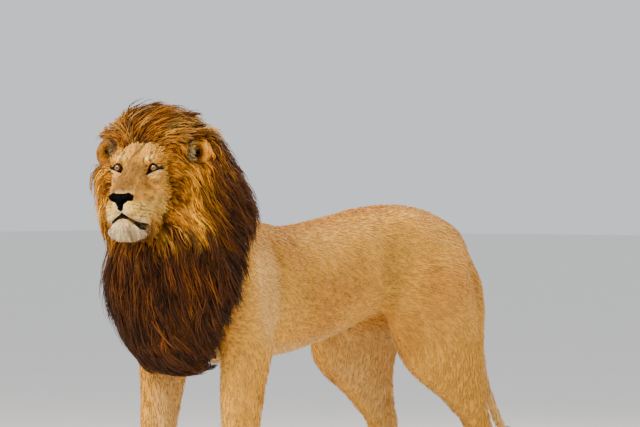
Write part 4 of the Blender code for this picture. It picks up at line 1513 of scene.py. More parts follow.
@dataclass
class TuftMaker:
    """Turns locks of hair into one mesh of tapered, closed tufts."""

    spread: float = 0.003                 # size of a tuft's patch on the unwrap
    unfolded_faces: int = 6000
    unwraps: dict = field(default_factory=dict)

    def unwrap(self, source: Item) -> tuple[Surface, Array]:
        """Unfold a plainer copy of a surface once, for the tufts' places on it.

        Args:
            source: the object whose shape is unfolded.

        Returns:
            The copy's surface, and its unfolded corners for each triangle.
        """
        if source.name not in self.unwraps:
            twin = link(bpy.data.objects.new("unfold", source.data.copy()))
            apply_modifier(twin, "DECIMATE", ratio=min(1.0, self.unfolded_faces / len(twin.data.polygons)),
                           use_collapse_triangulate=True)
            with editing(twin):
                bpy.ops.uv.smart_project(angle_limit=math.radians(66.0), island_margin=0.004)
            surface = Surface.of(twin)
            loops = read(twin.data.loop_triangles, "loops", 3, np.int32)
            self.unwraps[source.name] = surface, read(twin.data.uv_layers.active.data, "uv", 2)[loops]
            remove(twin)
        return self.unwraps[source.name]

    def build(self, name: str, locks: Locks, source: Item) -> Item:
        """Make one mesh of many locks.

        Args:
            name: the object's name.
            locks: the locks.
            source: the surface that is unfolded for the map.

        Returns:
            The object.
        """
        count, points = locks.paths.shape[:2]
        rings, per = points - 1, (points - 1) * 3 + 1
        corners, sizes = self.faces(rings)
        loops = ((np.arange(count) * per)[:, None] + corners).astype(np.int32)
        starts = (np.arange(count) * sizes.sum())[:, None] + np.concatenate([[0], np.cumsum(sizes)[:-1]])
        mesh = bpy.data.meshes.new(name)
        mesh.vertices.add(count * per)
        mesh.loops.add(loops.size)
        mesh.polygons.add(starts.size)
        mesh.vertices.foreach_set("co", self.corners(locks, rings).astype(np.float32).ravel())
        mesh.loops.foreach_set("vertex_index", loops.ravel())
        mesh.polygons.foreach_set("loop_start", starts.astype(np.int32).ravel())
        mesh.update(calc_edges=True)
        mesh.shade_smooth()
        item = link(bpy.data.objects.new(name, mesh))
        shades = np.repeat(locks.colours[:, :rings], 3, axis=1)
        paint(item, np.concatenate([shades, locks.colours[:, -1:]], axis=1).reshape(-1, 3))
        layer = mesh.uv_layers.new(name="OFBake")
        layer.data.foreach_set("uv", self.patches(locks.paths[:, 0], corners, rings, source).ravel())
        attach(item, "root")
        return item

    def corners(self, locks: Locks, rings: int) -> Array:
        """Vertices of each lock: a low triangle at each point but the last, then its tip."""
        run = unit(np.diff(locks.paths, axis=1))
        across = unit(np.cross(run, locks.normals[:, None, :]))
        over = unit(np.cross(across, run))
        base = locks.paths[:, :rings]
        half = locks.widths[..., None] * across
        widest = np.maximum(locks.widths.max(axis=1, keepdims=True), 1e-9)
        rise = over * (locks.thickness[:, None] * locks.widths / widest)[..., None]
        ring = np.stack([base - half, base + half, base + rise], axis=2)
        return np.concatenate([ring.reshape(len(base), rings * 3, 3), locks.paths[:, -1:]], axis=1)

    def faces(self, rings: int) -> tuple[Array, Array]:
        """Vertex numbers of one lock's faces in a row, and how many each face has."""
        quads = [(a + (k + 1) % 3, a + k, a + k + 3, a + (k + 1) % 3 + 3)
                 for a in range(0, rings * 3 - 3, 3) for k in range(3)]
        last = rings * 3 - 3
        triangles = [(last + (k + 1) % 3, last + k, rings * 3) for k in range(3)] + [(0, 1, 2)]
        sizes = np.array([4] * len(quads) + [3] * len(triangles))
        return np.array([corner for face in quads + triangles for corner in face]), sizes

    def patches(self, roots: Array, corners: Array, rings: int, source: Item) -> Array:
        """Give each lock a small patch at its root's place on the unfolded surface.

        Args:
            roots: where each lock starts.
            corners: vertex numbers of one lock's faces in a row.
            rings: how many triangles of vertices a lock has.
            source: the surface that is unfolded.

        Returns:
            A place on the map for each corner of each lock's faces.
        """
        surface, flat = self.unwrap(source)
        places, _, faces = surface.nearest(roots)
        spot = np.clip(blend(surface.shares(places, faces), flat[faces]), self.spread, 1.0 - self.spread)
        along = np.concatenate([np.repeat(np.arange(rings) / rings, 3), [1.0]])
        across = np.concatenate([np.tile((0.0, 1.0, 0.5), rings), [0.5]])
        patch = np.stack([across, along], axis=1) * self.spread - self.spread / 2
        return (spot[:, None, :] + patch[corners]).astype(np.float32)


@dataclass(frozen=True)
class Growth:
    """How one kind of hair grows.  Lengths and heights are those of a lock whose size is 1."""

    name: str
    count: int
    stray: float                          # how far a hair turns off the lie, in radians
    widths: tuple[float, ...]             # half widths at each point but the tip
    thickness: float
    shade: tuple[float, float, float]     # brightness at root and tip, and how much hairs differ; the darker roots are painted shade deep in the coat
    slot: str = "mane_hair"
    length: float = 0.0
    lift: float = 0.0                     # height of a hair over the skin
    vary_length: tuple[float, float] = (0.6, 1.4)
    vary_lift: tuple[float, float] = (0.4, 1.5)
    rise: tuple[float, ...] = (0.6, 1.0)  # share of a hair's height at each point after the root
    depth: float = 0.0006                 # how deep the root lies in the skin
    least: float = 0.0                    # half width of a hair of size 0
    curl: float = 0.0                     # how far a hair turns on at each step, in radians

    def lengths(self, size: Array | float, more: Array | float, rng: Chance) -> Array:
        """Each hair's length, from its size and what is added to it."""
        return (self.length * size + more) * rng.uniform(*self.vary_length, self.count)

    def heights(self, size: Array | float, more: Array | float, rng: Chance,
                less: Array | float = 1.0) -> Array:
        """Heights over the skin at each point of each hair.

        Args:
            size: each hair's size.
            more: what is added to its height.
            rng: the source of chance.
            less: a factor for the height.

        Returns:
            The heights, (hairs, points).
        """
        lift = (self.lift * size + more) * rng.uniform(*self.vary_lift, self.count) * less
        return np.stack([np.full(self.count, -self.depth), *(share * lift for share in self.rise)], axis=1)

    def run(self, surface: Surface, roots: tuple[Array, Array], lengths: Array, lie: Callable,
            heights: Array, rng: Chance) -> Array:
        """Follow the lie of the coat at set heights over the surface.

        Args:
            surface: what the hairs stand on.
            roots: places on the surface, and its normals there.
            lengths: each hair's length.
            lie: gives directions from places and normals.
            heights: height over the surface at each point, (hairs, points).
            rng: the source of chance.

        Returns:
            Points along each hair, (hairs, points, 3).
        """
        place, normal = roots
        steps = heights.shape[1] - 1
        angle = rng.normal(0.0, self.stray, len(place))
        turn = rng.normal(0.0, self.curl, len(place)) if self.curl else 0.0
        points = [place + normal * heights[:, :1]]
        stride = (lengths / steps)[:, None]
        for k in range(steps):
            way = lie(place, normal)
            way = way * np.cos(angle)[:, None] + np.cross(normal, way) * np.sin(angle)[:, None]
            place, normal, _ = surface.nearest(place + way * stride)
            points.append(place + normal * heights[:, k + 1:k + 2])
            angle = angle + turn
        return np.stack(points, axis=1)

    def locks(self, paths: Array, normals: Array, size: Array | float, base: Array, rng: Chance) -> Locks:
        """Give hairs their widths and colours: each a little off, and shaded from root to tip.

        Args:
            paths: points along each hair.
            normals: the way up at each root.
            size: each hair's size.
            base: each hair's colour.
            rng: the source of chance.

        Returns:
            The finished hairs.
        """
        count, points = paths.shape[:2]
        root, tip, spread = self.shade
        off = np.clip(1.0 + spread * rng.normal(0.0, 1.0, (count, 1, 1)), 0.4, 1.7)
        ramp = np.linspace(root, tip, points)[None, :, None]
        colours = np.clip(base[:, None, :] * ramp * off, 0.0, 1.0)
        size = size * np.ones(count)
        widths = size[:, None] * np.array(self.widths) + self.least
        return Locks(paths, normals, widths, self.thickness * size, colours)


BODY_COAT = Growth("short_coat", 29000, 0.12, (0.0011, 0.0016), 0.0009, (0.93, 1.06, 0.04), "short_coat",
                   0.023, 0.0048, (0.7, 1.3), (0.5, 1.2), rise=(0.62, 1.0), depth=0.0008, least=0.0004)
FACE_COAT = Growth("face_coat", 16500, 0.14, (0.0008, 0.0011), 0.0007, (0.88, 1.10, 0.10), "short_coat",
                   0.017, 0.0038, (0.7, 1.3), (0.4, 1.4), least=0.0003)
EAR_COAT = Growth("ear_coat", 2600, 0.25, (0.0010, 0.0013), 0.0007, (0.85, 1.15, 0.12), "short_coat",
                  0.013, 0.0035)
EAR_RIM = Growth("ear_rims", 1100, 0.0, (0.0014, 0.0019, 0.0018, 0.0012), 0.0010, (0.62, 1.30, 0.26))
EAR_FRINGE = Growth("ear_fringe", 260, 0.0, (0.0010, 0.0012, 0.0010, 0.0007), 0.0007, (0.7, 1.1, 0.15))
RUFF = Growth("face_ruff", 6800, 0.20, (0.0013, 0.0018, 0.0017, 0.0011), 0.0010, (0.82, 1.12, 0.12),
              length=0.034, lift=0.012, rise=(0.45, 0.8, 1.0, 0.9), depth=0.001, curl=0.06)
MANE = Growth("mane", 34000, 0.16, (0.0013, 0.0021, 0.0020, 0.0013), 0.0014, (0.26, 1.30, 0.20), length=0.130,
              vary_length=(0.55, 1.45), curl=0.10)
MANE_GUIDES = replace(MANE, name="mane_guides", count=3200, stray=0.30)
TAIL_TUFT = Growth("tail_tuft_locks", 1800, 0.20, (0.0016, 0.0024, 0.0020, 0.0012), 0.0015, (0.6, 1.4, 0.25),
                   "tuft_hair")
# Shares of the way from a lock's inner height to its outer one, from its tip back to its root
MANE_SINK = np.array((1.0, 0.94, 0.80, 0.48, 0.0))
TAIL_SINK = np.array((1.0, 0.95, 0.8, 0.5, 0.0))
# How far each point of a lock is drawn to its guide, and how far it swells with it, from root to tip
GATHERING = np.array((0.0, 0.18, 0.42, 0.62, 0.80))
SWELLING = np.array((0.0, 0.4, 0.8, 1.0, 1.0))


def sunk(shares: Array, inner: Array, outer: Array) -> Array:
    """Heights along locks whose roots lie at inner heights and whose tips lie at outer ones."""
    return inner[:, None] + (outer - inner)[:, None] * shares


def tree_of(points: Array) -> KDTree:
    """A search tree of points."""
    tree = KDTree(len(points))
    for i, point in enumerate(points.tolist()):
        tree.insert(point, i)
    tree.balance()
    return tree


def gathered(paths: Array, guides: Array, pull: Array, strength: Array) -> tuple[Array, Array]:
    """Draw locks together towards their nearest guide, most at the tips.

    Args:
        paths: points along each lock.
        guides: points along each guide.
        pull: how far each point moves, from root to tip.
        strength: one factor for each lock.

    Returns:
        The new points, and each lock's guide number.
    """
    middle = paths.shape[1] // 2
    tree = tree_of(guides[:, middle])
    nearest = np.array([tree.find(point)[1] for point in paths[:, middle].tolist()])
    weight = (strength[:, None] * pull[None, :])[..., None]
    return paths + weight * (guides[nearest] - paths), nearest


def bent(root: Array, way: Array, length: Array, bend: Array, steps: tuple[float, ...]) -> Array:
    """Points along free hairs that bend away as they go.

    Args:
        root: where each hair starts.
        way: its direction there.
        length: its length.
        bend: how far a hair of length 1 has left its first direction at its tip.
        steps: shares of the length at which the points lie.

    Returns:
        Points along each hair, (hairs, points, 3).
    """
    return np.stack([root + way * length * t + bend * length * t * t for t in steps], axis=1)


@dataclass
class Coat:
    """All the fur: short coat, face, ears, mane and tail tuft."""

    skin: Item
    seed: int = 7
    ear_front: float = 0.012              # how far the ear's rim lies ahead of its middle
    rim_reach: tuple[float, float] = (0.012, 0.046)      # the rim's hair lies this far from the ear's middle
    rim_start: tuple[float, float] = (-115.0, 75.0)      # degrees round the ear at which it starts
    rim_sweep: tuple[float, float] = (30.0, 60.0)        # degrees that it runs round the ear
    rim_steps: tuple = ((0.0, -0.004), (0.25, 0.001), (0.5, 0.003), (0.75, 0.004), (1.0, 0.003))
    rim_light: tuple[float, float] = (0.961, 0.465)      # brightness on the left and the right ear; the right ear's lower value is painted shade
    ear_views: tuple = ((0.004, 0.037), (-0.022, 0.036))      # shift and half width kept free of locks
    beard: tuple[float, float] = (0.020, 0.0075)         # how much longer and higher the chin's hair is
    ruff_least: tuple[float, float] = (0.016, 0.004)     # the ruff's length and height at the face
    mane_side: float = 0.249              # the mane's locks stay within this distance of the middle
    mane_voxel: float = 0.011
    ear_tuft: tuple = ((-0.118, 0.088), (0.040, 0.034))  # where the mane bulges behind the right ear
    mane_depth: float = 0.024             # how deep long locks are rooted
    wisp_share: float = 0.17              # share of the locks that stand off the mane
    piece_locks: dict = field(default_factory=lambda: {3: 17000, 5: 8600})      # most locks by their points
    maker: TuftMaker = field(default_factory=TuftMaker)
    pieces: list = field(default_factory=list)
    short: bpy.types.Material = field(init=False)
    long: bpy.types.Material = field(init=False)
    surface: Surface = field(init=False)

    def __post_init__(self) -> None:
        """Make the two kinds of hair and read the skin."""
        self.short = CoatFinish("short_guard_hair", roughness=0.66, contrast=0.10).make()
        self.long = CoatFinish("long_mane_hair", roughness=0.52, sheen=0.0, contrast=0.16, strand_mm=3.0,
                               shine=0.18).make()
        self.surface = Surface.of(self.skin)

    def build(self) -> list[Item]:
        """Grow every part of the coat.

        Returns:
            The coat's pieces.
        """
        shell, outside, is_mane = self.shell_surface()
        cover = self.covered(outside, is_mane)
        core = self.underhair()
        self.grow_body(cover)
        self.grow_face()
        self.grow_ears()
        self.grow_ear_rims()
        self.grow_ear_fringe()
        self.grow_ruff()
        self.grow_mane(outside, is_mane, core)
        self.grow_tail()
        remove(shell)
        return self.pieces

    def chance(self, number: int) -> Chance:
        """The source of chance of one part of the coat."""
        return np.random.default_rng(self.seed + number)

    def add(self, kind: Growth, locks: Locks, source: Item) -> None:
        """Build locks as one or more pieces, each small enough to be kept whole."""
        parts = math.ceil(len(locks.paths) / self.piece_locks[locks.paths.shape[1]])
        order = np.argsort(locks.paths[:, 0, 1], kind="stable")
        for k, ids in enumerate(np.array_split(order, parts)):
            title = kind.name if parts == 1 else f"{kind.name}_{k + 1}"
            piece = self.maker.build(title, locks.only(ids), source)
            piece.data.materials.append(self.short if kind.slot == "short_coat" else self.long)
            self.pieces.append(piece)

    def shell_surface(self) -> tuple[Item, Surface, Array]:
        """The lion's outer shape with its mane, and how much of it is mane.

        Returns:
            The helper object, its surface, and 1 at each vertex where the mane lies.
        """
        shell = melted_nodes("shell", MANE_NODES + HEAD_NODES + TRUNK_NODES[1:] + LIMB_NODES, self.mane_voxel)
        relax(shell, 12)
        mane = melted_nodes("mane_only", MANE_NODES, self.mane_voxel)
        surface = Surface.of(shell)
        found, _, _ = Surface.of(mane).nearest(surface.places)
        remove(mane)
        return shell, surface, smoothstep(0.010, 0.004, np.linalg.norm(found - surface.places, axis=1))

    def covered(self, shell: Surface, is_mane: Array) -> Array:
        """Find the skin under the mane.

        Args:
            shell: the lion's outer shape.
            is_mane: 1 at each of the shell's vertices where the mane lies.

        Returns:
            1 at each of the skin's vertices that lies well inside the mane.
        """
        places = self.surface.places
        cover = np.zeros(len(places))
        near = np.nonzero(places[:, 1] < -0.25)[0]
        found, normals, faces = shell.nearest(places[near])
        depth = np.sum((found - places[near]) * normals, axis=1)
        cover[near] = (depth > 0.022) & (is_mane[shell.triangles[faces]].min(axis=1) > 0.5)
        return cover

    def underhair(self) -> Item:
        """The dense inner hair of the mane, under the long locks, painted dark as the shade deep between
        them.
        """
        core = melted_nodes("mane_underhair", MANE_NODES + HEAD_NODES + ("chest",), self.mane_voxel)
        relax(core, 12)
        push_out(core, -(0.020 + 0.016 * smoothstep(-0.52, -0.40, corners_of(core)[:, 1])))
        relax(core, 3)
        # painted shade: the underhair takes a fifth of the mane's colour, as the dark deep between the locks
        paint(core, MARKS.of_mane(corners_of(core)) * 0.20)
        finish(core, self.long)
        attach(core, "root")
        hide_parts(*MANE_NODES)
        return core

    def grow_body(self, cover: Array) -> None:
        """Short tufts that lie flat on trunk, legs and tail, but not under the mane."""
        kind, rng, places = BODY_COAT, self.chance(0), self.surface.places
        local = HEAD.to_head(places)
        is_head = (local[:, 0] > -0.19) & (np.abs(local[:, 1]) < 0.21) & (np.abs(local[:, 2] + 0.05) < 0.30)
        density = np.where(is_head | (places[:, 2] < 0.004), 0.0, 1.0 - cover)
        density *= 1.0 + 1.5 * smoothstep(0.16, 0.06, places[:, 2])
        roots, normals = self.surface.scatter(kind.count, density, rng)
        size = 0.40 + 0.60 * smoothstep(0.03, 0.45, roots[:, 2])
        lengths, heights = kind.lengths(size, 0.0, rng), kind.heights(size, 0.0, rng)
        paths = kind.run(self.surface, (roots, normals), lengths, LIE.of_body, heights, rng)
        self.add(kind, kind.locks(paths, normals, size, MARKS.of_body(roots), rng), self.skin)

    def grow_face(self) -> None:
        """Fine hair on the face, shortest on the muzzle."""
        kind, rng = FACE_COAT, self.chance(1)
        both = mirrored(HEAD.to_head(self.surface.places))
        f, side, v = both.T
        is_face = (f > -0.13) & (side < 0.135) & (v > -0.24) & (v < 0.13)
        density = is_face * (1.0 + 0.9 * smoothstep(0.0, 0.08, f))
        density *= (1.0 - MOUTH.share(both)) * np.where(EYES.dark(both) > 0.2, 0.0, 1.0)
        roots, normals = self.surface.scatter(kind.count, density, rng)
        at = HEAD.to_head(roots)
        size = 0.36 + 0.64 * smoothstep(0.085, -0.06, at[:, 0])
        chin = smoothstep(-0.165, -0.190, at[:, 2]) * smoothstep(0.0, 0.04, at[:, 0])
        smooth = 1.0 - 0.45 * smoothstep(-0.010, 0.030, at[:, 2])
        lengths = kind.lengths(size, self.beard[0] * chin, rng) * smooth
        heights = kind.heights(size, self.beard[1] * chin, rng, smooth)
        paths = kind.run(self.surface, (roots, normals), lengths, LIE.of_face, heights, rng)
        locks = kind.locks(paths, normals, size, MARKS.of_face(at), rng)
        # painted shade: the chin's hairs are darker at the root, for the dark gaps between them
        locks.colours[:, 0] *= (1.0 - 0.5 * chin)[:, None]
        bends, tips = (mirrored(HEAD.to_head(paths[:, k])) for k in (1, 2))
        clear = (EYES.dark(tips) < 0.5) & (np.maximum(MOUTH.share(tips), MOUTH.share(bends)) < 0.2)
        self.add(kind, locks.only(clear), self.skin)

    def grow_ruff(self) -> None:
        """Half-long hair where the short coat of the face turns into mane."""
        kind, rng = RUFF, self.chance(6)
        local = HEAD.to_head(self.surface.places)
        ring = LIE.ring(local)
        band = smoothstep(0.80, 1.00, ring + 0.08 * lattice_noise(local, 0.02, 91))
        band *= smoothstep(1.35, 1.15, ring)
        band *= smoothstep(-0.17, -0.13, local[:, 0]) * smoothstep(0.05, 0.02, local[:, 0])
        roots, normals = self.surface.scatter(kind.count, band * (np.abs(local[:, 1]) < 0.14), rng)
        at = HEAD.to_head(roots)
        far = smoothstep(0.80, 1.15, LIE.ring(at))
        high = smoothstep(0.02, 0.06, at[:, 2])
        lengths = kind.lengths(far, self.ruff_least[0], rng) * (1.0 - 0.45 * high)
        heights = kind.heights(far, self.ruff_least[1], rng, 1.0 - 0.5 * high)

        def lie(points: Array, up: Array) -> Array:
            """Away from the nose, then as the mane lies."""
            return unit(LIE.of_face(points, up) + 0.6 * LIE.of_mane(points, up))

        paths = kind.run(self.surface, (roots, normals), lengths, lie, heights, rng)
        share = smoothstep(0.15, 0.85, far + 0.5 * (rng.random(kind.count) - 0.5))
        base = mix(MARKS.of_face(at), MARKS.of_mane(paths[:, 3]), share)
        locks = kind.locks(paths, normals, 0.6 + 0.4 * far, base, rng)
        tips = mirrored(HEAD.to_head(paths[:, 4]))
        clear = (EYES.dark(tips) < 0.5) & (MOUTH.share(tips) < 0.5) & self.clear_of_ears(paths)
        self.add(kind, locks.only(clear), self.skin)

    def grow_ears(self) -> None:
        """Short hair over the backs and rims of the ears."""
        kind, rng, places = EAR_COAT, self.chance(4), self.surface.places
        density = np.zeros(len(places))
        for node in EAR_NODES:
            low, high = (np.array(corner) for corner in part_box(node))
            within = np.all((places > low - 0.004) & (places < high + 0.004), axis=1)
            density = np.maximum(density, within & (np.abs(HEAD.to_head(places)[:, 1]) > 0.085))
        roots, normals = self.surface.scatter(kind.count, density, rng)
        middles = np.stack([np.array(middle_of(node)) for node in EAR_NODES])
        away = np.linalg.norm(roots[:, None] - middles, axis=2)
        base = middles[(away[:, 1] < away[:, 0]).astype(int)] - np.array((0.0, 0.0, 0.030))

        def lie(points: Array, at: Array) -> Array:
            """From the ear's base to its rim."""
            return flatten(points - base + 0.004 * noise_field(points, 0.02, 81), at)

        lengths, heights = kind.lengths(1.0, 0.0, rng), kind.heights(1.0, 0.0, rng)
        paths = kind.run(self.surface, (roots, normals), lengths, lie, heights, rng)
        self.add(kind, kind.locks(paths, normals, 1.0, MARKS.of_ear(roots, normals), rng), self.skin)

    def clear_of_ears(self, paths: Array) -> Array:
        """True for the locks that leave both ears' cups in sight."""
        clear = np.ones(len(paths), dtype=bool)
        facing = unit(HEAD.turn(np.array((0.96, 0.27, 0.05))))
        for node, (shift, wide) in zip(EAR_NODES, self.ear_views):
            away = paths - (np.array(middle_of(node)) + HEAD.turn(np.array((0.0, shift, 0.0))))
            along = away @ facing
            across = np.sqrt(np.maximum(np.sum(away ** 2, axis=2) - along ** 2, 0.0))
            clear &= ~((across < wide) & (along > -0.012) & (along < 0.16)).any(axis=1)
        return clear

    def grow_ear_rims(self) -> None:
        """Golden hair that runs round the outer half of each ear towards its tip."""
        kind, rng = EAR_RIM, self.chance(8)
        paths, normals = [], []
        for node, sign in EARS:
            middle = HEAD.node(node)
            reach = rng.uniform(*self.rim_reach, kind.count)
            start, sweep = (np.radians(rng.uniform(*ends, kind.count))
                            for ends in (self.rim_start, self.rim_sweep))
            bulge = 0.012 * np.sin(math.pi * np.clip((reach - 0.008) / 0.042, 0.0, 1.0))
            steps = []
            for t, lift in self.rim_steps:
                turn, away = start + sweep * t, reach * (1.0 + 0.10 * t)
                steps.append(np.stack([middle[0] + self.ear_front + bulge + lift,
                                       middle[1] + sign * (away * np.cos(turn) + 0.002),
                                       middle[2] + away * np.sin(turn)], axis=1))
            paths.append(HEAD.to_world(np.stack(steps, axis=1)))
            normals.append(np.repeat(HEAD.turn(np.array((1.0, 0.2 * sign, 0.1)))[None], kind.count, axis=0))
        paths, normals = np.concatenate(paths), np.concatenate(normals)
        noise = lattice_noise(paths[:, 2], 0.009, 26)
        base = mix(plain(Tint.GOLD, len(paths)), Tint.GOLD_PALE.light, smoothstep(-0.1, 0.9, noise) * 0.65)
        base = mix(base, Tint.GOLD_DEEP.light, smoothstep(0.1, 0.9, -noise) * 0.75)
        # the right ear's rim is painted darker, as in shade
        base *= np.repeat(self.rim_light, kind.count)[:, None]
        self.add(kind, kind.locks(paths, normals, 1.0, base, rng), self.skin)

    def grow_ear_fringe(self) -> None:
        """Long pale hair that crosses each ear's cup from its inner edge."""
        kind, rng = EAR_FRINGE, self.chance(5)
        count = kind.count
        paths, normals, bases = [], [], []
        for node, sign in EARS:
            middle = HEAD.node(node)
            out = -0.040 + 0.020 * rng.random(count)
            up = rng.uniform(-0.040, 0.030, count)
            start = middle + np.stack([np.full(count, 0.035), out * sign, up], axis=1)
            root, _, _ = self.surface.nearest(HEAD.to_world(start))
            way = np.stack([rng.normal(0.30, 0.12, count), (0.55 + 0.3 * rng.random(count)) * sign,
                            rng.normal(0.35, 0.35, count)], axis=1)
            length = rng.uniform(0.016, 0.036, count)[:, None]
            bend = HEAD.turn(np.array((-0.25, 0.35 * sign, -0.55)))
            paths.append(bent(root, HEAD.turn(unit(way)), length, bend * 0.5, (-0.08, 0.22, 0.5, 0.78, 1.0)))
            normals.append(np.repeat(HEAD.turn(np.array((1.0, 0.0, 0.2)))[None], count, axis=0))
            pale = mix(plain(Tint.GOLD_PALE, count), Tint.WHITE.light, rng.random(count) * 0.9)
            # the right ear's fringe is painted darker, as in shade
            bases.append(pale * (0.72 + 0.28 * sign))
        paths, normals, bases = (np.concatenate(rows) for rows in (paths, normals, bases))
        self.add(kind, kind.locks(paths, normals, 1.0, bases, rng), self.skin)

    def grow_mane(self, surface: Surface, is_mane: Array, core: Item) -> None:
        """Long locks that end anywhere on the mane's outside, gathered into wisps."""
        rng = self.chance(2)
        local = HEAD.to_head(surface.places)
        face = (is_mane < 0.5) & (local[:, 0] > -0.16) & (np.abs(local[:, 1]) < 0.14) & (local[:, 2] > -0.26)
        edge = tree_of(surface.places[face])
        guides, _, _ = self.mane_paths(MANE_GUIDES, surface, is_mane, edge, rng)
        paths, normals, thick = self.mane_paths(MANE, surface, is_mane, edge, rng)
        paths, number = gathered(paths, guides, GATHERING, rng.uniform(0.35, 1.0, len(paths)))
        clear = self.clear_of_ears(paths)
        paths, number, normals, thick = (rows[clear] for rows in (paths, number, normals, thick))
        draws = MANE_GUIDES.count * 2
        swell = np.clip(rng.normal(0.0, 0.0055, draws), -0.010, 0.009)[number]
        paths += normals[:, None, :] * swell[:, None, None] * SWELLING[:, None]
        side, far = self.mane_side - 0.02, np.abs(paths[..., 0])
        bound = self.mane_side - 0.02 * np.exp(-np.maximum(far - self.mane_side + 0.02, 0.0) / 0.02)
        paths[..., 0] = np.where(far > side, np.sign(paths[..., 0]) * bound, paths[..., 0])
        wander = rng.normal(0.0, 0.034, draws)[number] + rng.normal(0.0, 0.014, len(paths))
        base = MARKS.of_mane(paths[:, 2], wander)
        base = base * np.clip(rng.normal(1.0, 0.30, draws), 0.35, 1.7)[number][:, None]
        self.add(MANE, MANE.locks(paths, normals, thick, base, rng), core)

    def mane_paths(self, kind: Growth, surface: Surface, is_mane: Array, edge: KDTree,
                   rng: Chance) -> tuple[Array, Array, Array]:
        """Trace locks backwards from tips that are strewn over the mane.

        Args:
            kind: how the locks grow.
            surface: the lion's outer shape.
            is_mane: 1 at each vertex where the mane lies.
            edge: the face's places, which locks don't cross.
            rng: the source of chance.

        Returns:
            Points along each lock from the root, the normals at the roots, and each lock's thickness.
        """
        count = kind.count
        density = is_mane * (1.0 + 0.9 * smoothstep(-0.20, -0.05, HEAD.to_head(surface.places)[:, 0]))
        tips, normals = surface.scatter(count, density, rng)
        at = HEAD.to_head(tips)
        reach = np.array([edge.find(point)[2] for point in tips.tolist()])
        lengths = kind.lengths(1.0, 0.050 * smoothstep(1.05, 0.85, tips[:, 2]), rng)
        lengths = np.minimum(lengths, reach + rng.uniform(0.010, 0.022, count))
        short = smoothstep(0.10, 0.02, lengths)
        layer = rng.random(count)
        inner = -(self.mane_depth * (1.0 - 0.75 * short)) * (0.5 + 0.8 * layer)
        outer = -0.006 * layer + 0.009 * lattice_noise(tips, 0.040, 51) * (1.0 - 0.6 * short) + 0.003
        wisp = (rng.random(count) < self.wisp_share) & (tips[:, 2] > 0.62)
        outer = np.where(wisp, outer + rng.uniform(0.004, 0.024, count) * (1.0 - 0.5 * short), outer)
        tuft = bell(oval(at[:, 1], at[:, 2], *self.ear_tuft), 0.0, 1.0)
        outer = outer + 0.024 * tuft * smoothstep(-0.30, -0.20, at[:, 0])

        def backwards(points: Array, up: Array) -> Array:
            """Against the lie."""
            return -LIE.of_mane(points, up)

        heights = sunk(MANE_SINK, inner, outer)
        paths = kind.run(surface, (tips, normals), lengths, backwards, heights, rng)[:, ::-1]
        return paths, normals, rng.uniform(0.65, 1.45, count) * (1.0 - 0.40 * short)

    def grow_tail(self) -> None:
        """The dark tuft at the tail's tip."""
        kind, rng = TAIL_TUFT, self.chance(3)
        bulk = melted_nodes("tuft_underhair", ("tail_tuft",), 0.006)
        relax(bulk, 6)
        surface = Surface.of(bulk)
        low, high = (np.array(corner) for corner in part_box("tail_tuft"))
        tip = np.array(((low[0] + high[0]) / 2 + 0.01, high[1] + 0.02, low[2] + 0.03))
        ends, normals = surface.scatter(kind.count, np.ones(len(surface.places)), rng)
        lengths = rng.uniform(0.05, 0.11, kind.count)

        def backwards(points: Array, up: Array) -> Array:
            """Away from the tuft's tip."""
            return flatten(unit(points - tip) + 0.25 * noise_field(points, 0.02, 61), up)

        inner, outer = -0.014 * rng.random(kind.count) - 0.004, rng.uniform(-0.002, 0.013, kind.count)
        heights = sunk(TAIL_SINK, inner, outer)
        paths = kind.run(surface, (ends, normals), lengths, backwards, heights, rng)[:, ::-1]
        base = mix(plain(Tint.UMBER, kind.count), Tint.CHESTNUT.light,
                   0.5 * smoothstep(0.1, 0.9, lattice_noise(ends, 0.02, 62)))
        locks = kind.locks(paths, normals, 1.0, base, rng)
        push_out(bulk, -0.010)
        paint(bulk, plain(Tint.UMBER, len(surface.places)) * 0.7)
        finish(bulk, self.long)
        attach(bulk, "root")
        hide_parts("tail_tuft")
        self.add(kind, locks, bulk)


# ---------------------------------------------------------------- eyes, nose, whiskers, claws
@dataclass
class Eye:
    """One eyeball with its iris."""

    side: str
    widest: float = 1.05                  # angle from the pupil's middle that the iris's colours span

    def build(self) -> Item:
        """Model the ball with its pole at the pupil and a bulging cornea.

        Returns:
            The eyeball.
        """
        low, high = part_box("eye_" + self.side)
        middle = np.array((low + high) / 2)
        radius = float((high - low).z) / 2
        bpy.ops.object.select_all(action="DESELECT")
        bpy.ops.mesh.primitive_uv_sphere_add(segments=48, ring_count=32, radius=radius)
        ball = joined([bpy.context.view_layer.objects.active], "eyeball_" + self.side)
        places = corners_of(ball)
        angle = np.arccos(np.clip(places[:, 2] / radius, -1.0, 1.0))
        bulged = places * (1.0 + 0.030 * smoothstep(0.62, 0.30, angle))[:, None]
        set_corners(ball, HEAD.turn(bulged[:, (2, 0, 1)]) + middle)
        layer = ball.data.attributes.new("Angle", "FLOAT", "POINT")
        layer.data.foreach_set("value", (angle / self.widest).astype(np.float32))
        with editing(ball):
            bpy.ops.mesh.normals_make_consistent(inside=False)
        finish(ball, EyeFinish().make())
        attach(ball, "root")
        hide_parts("eye_" + self.side)
        return ball


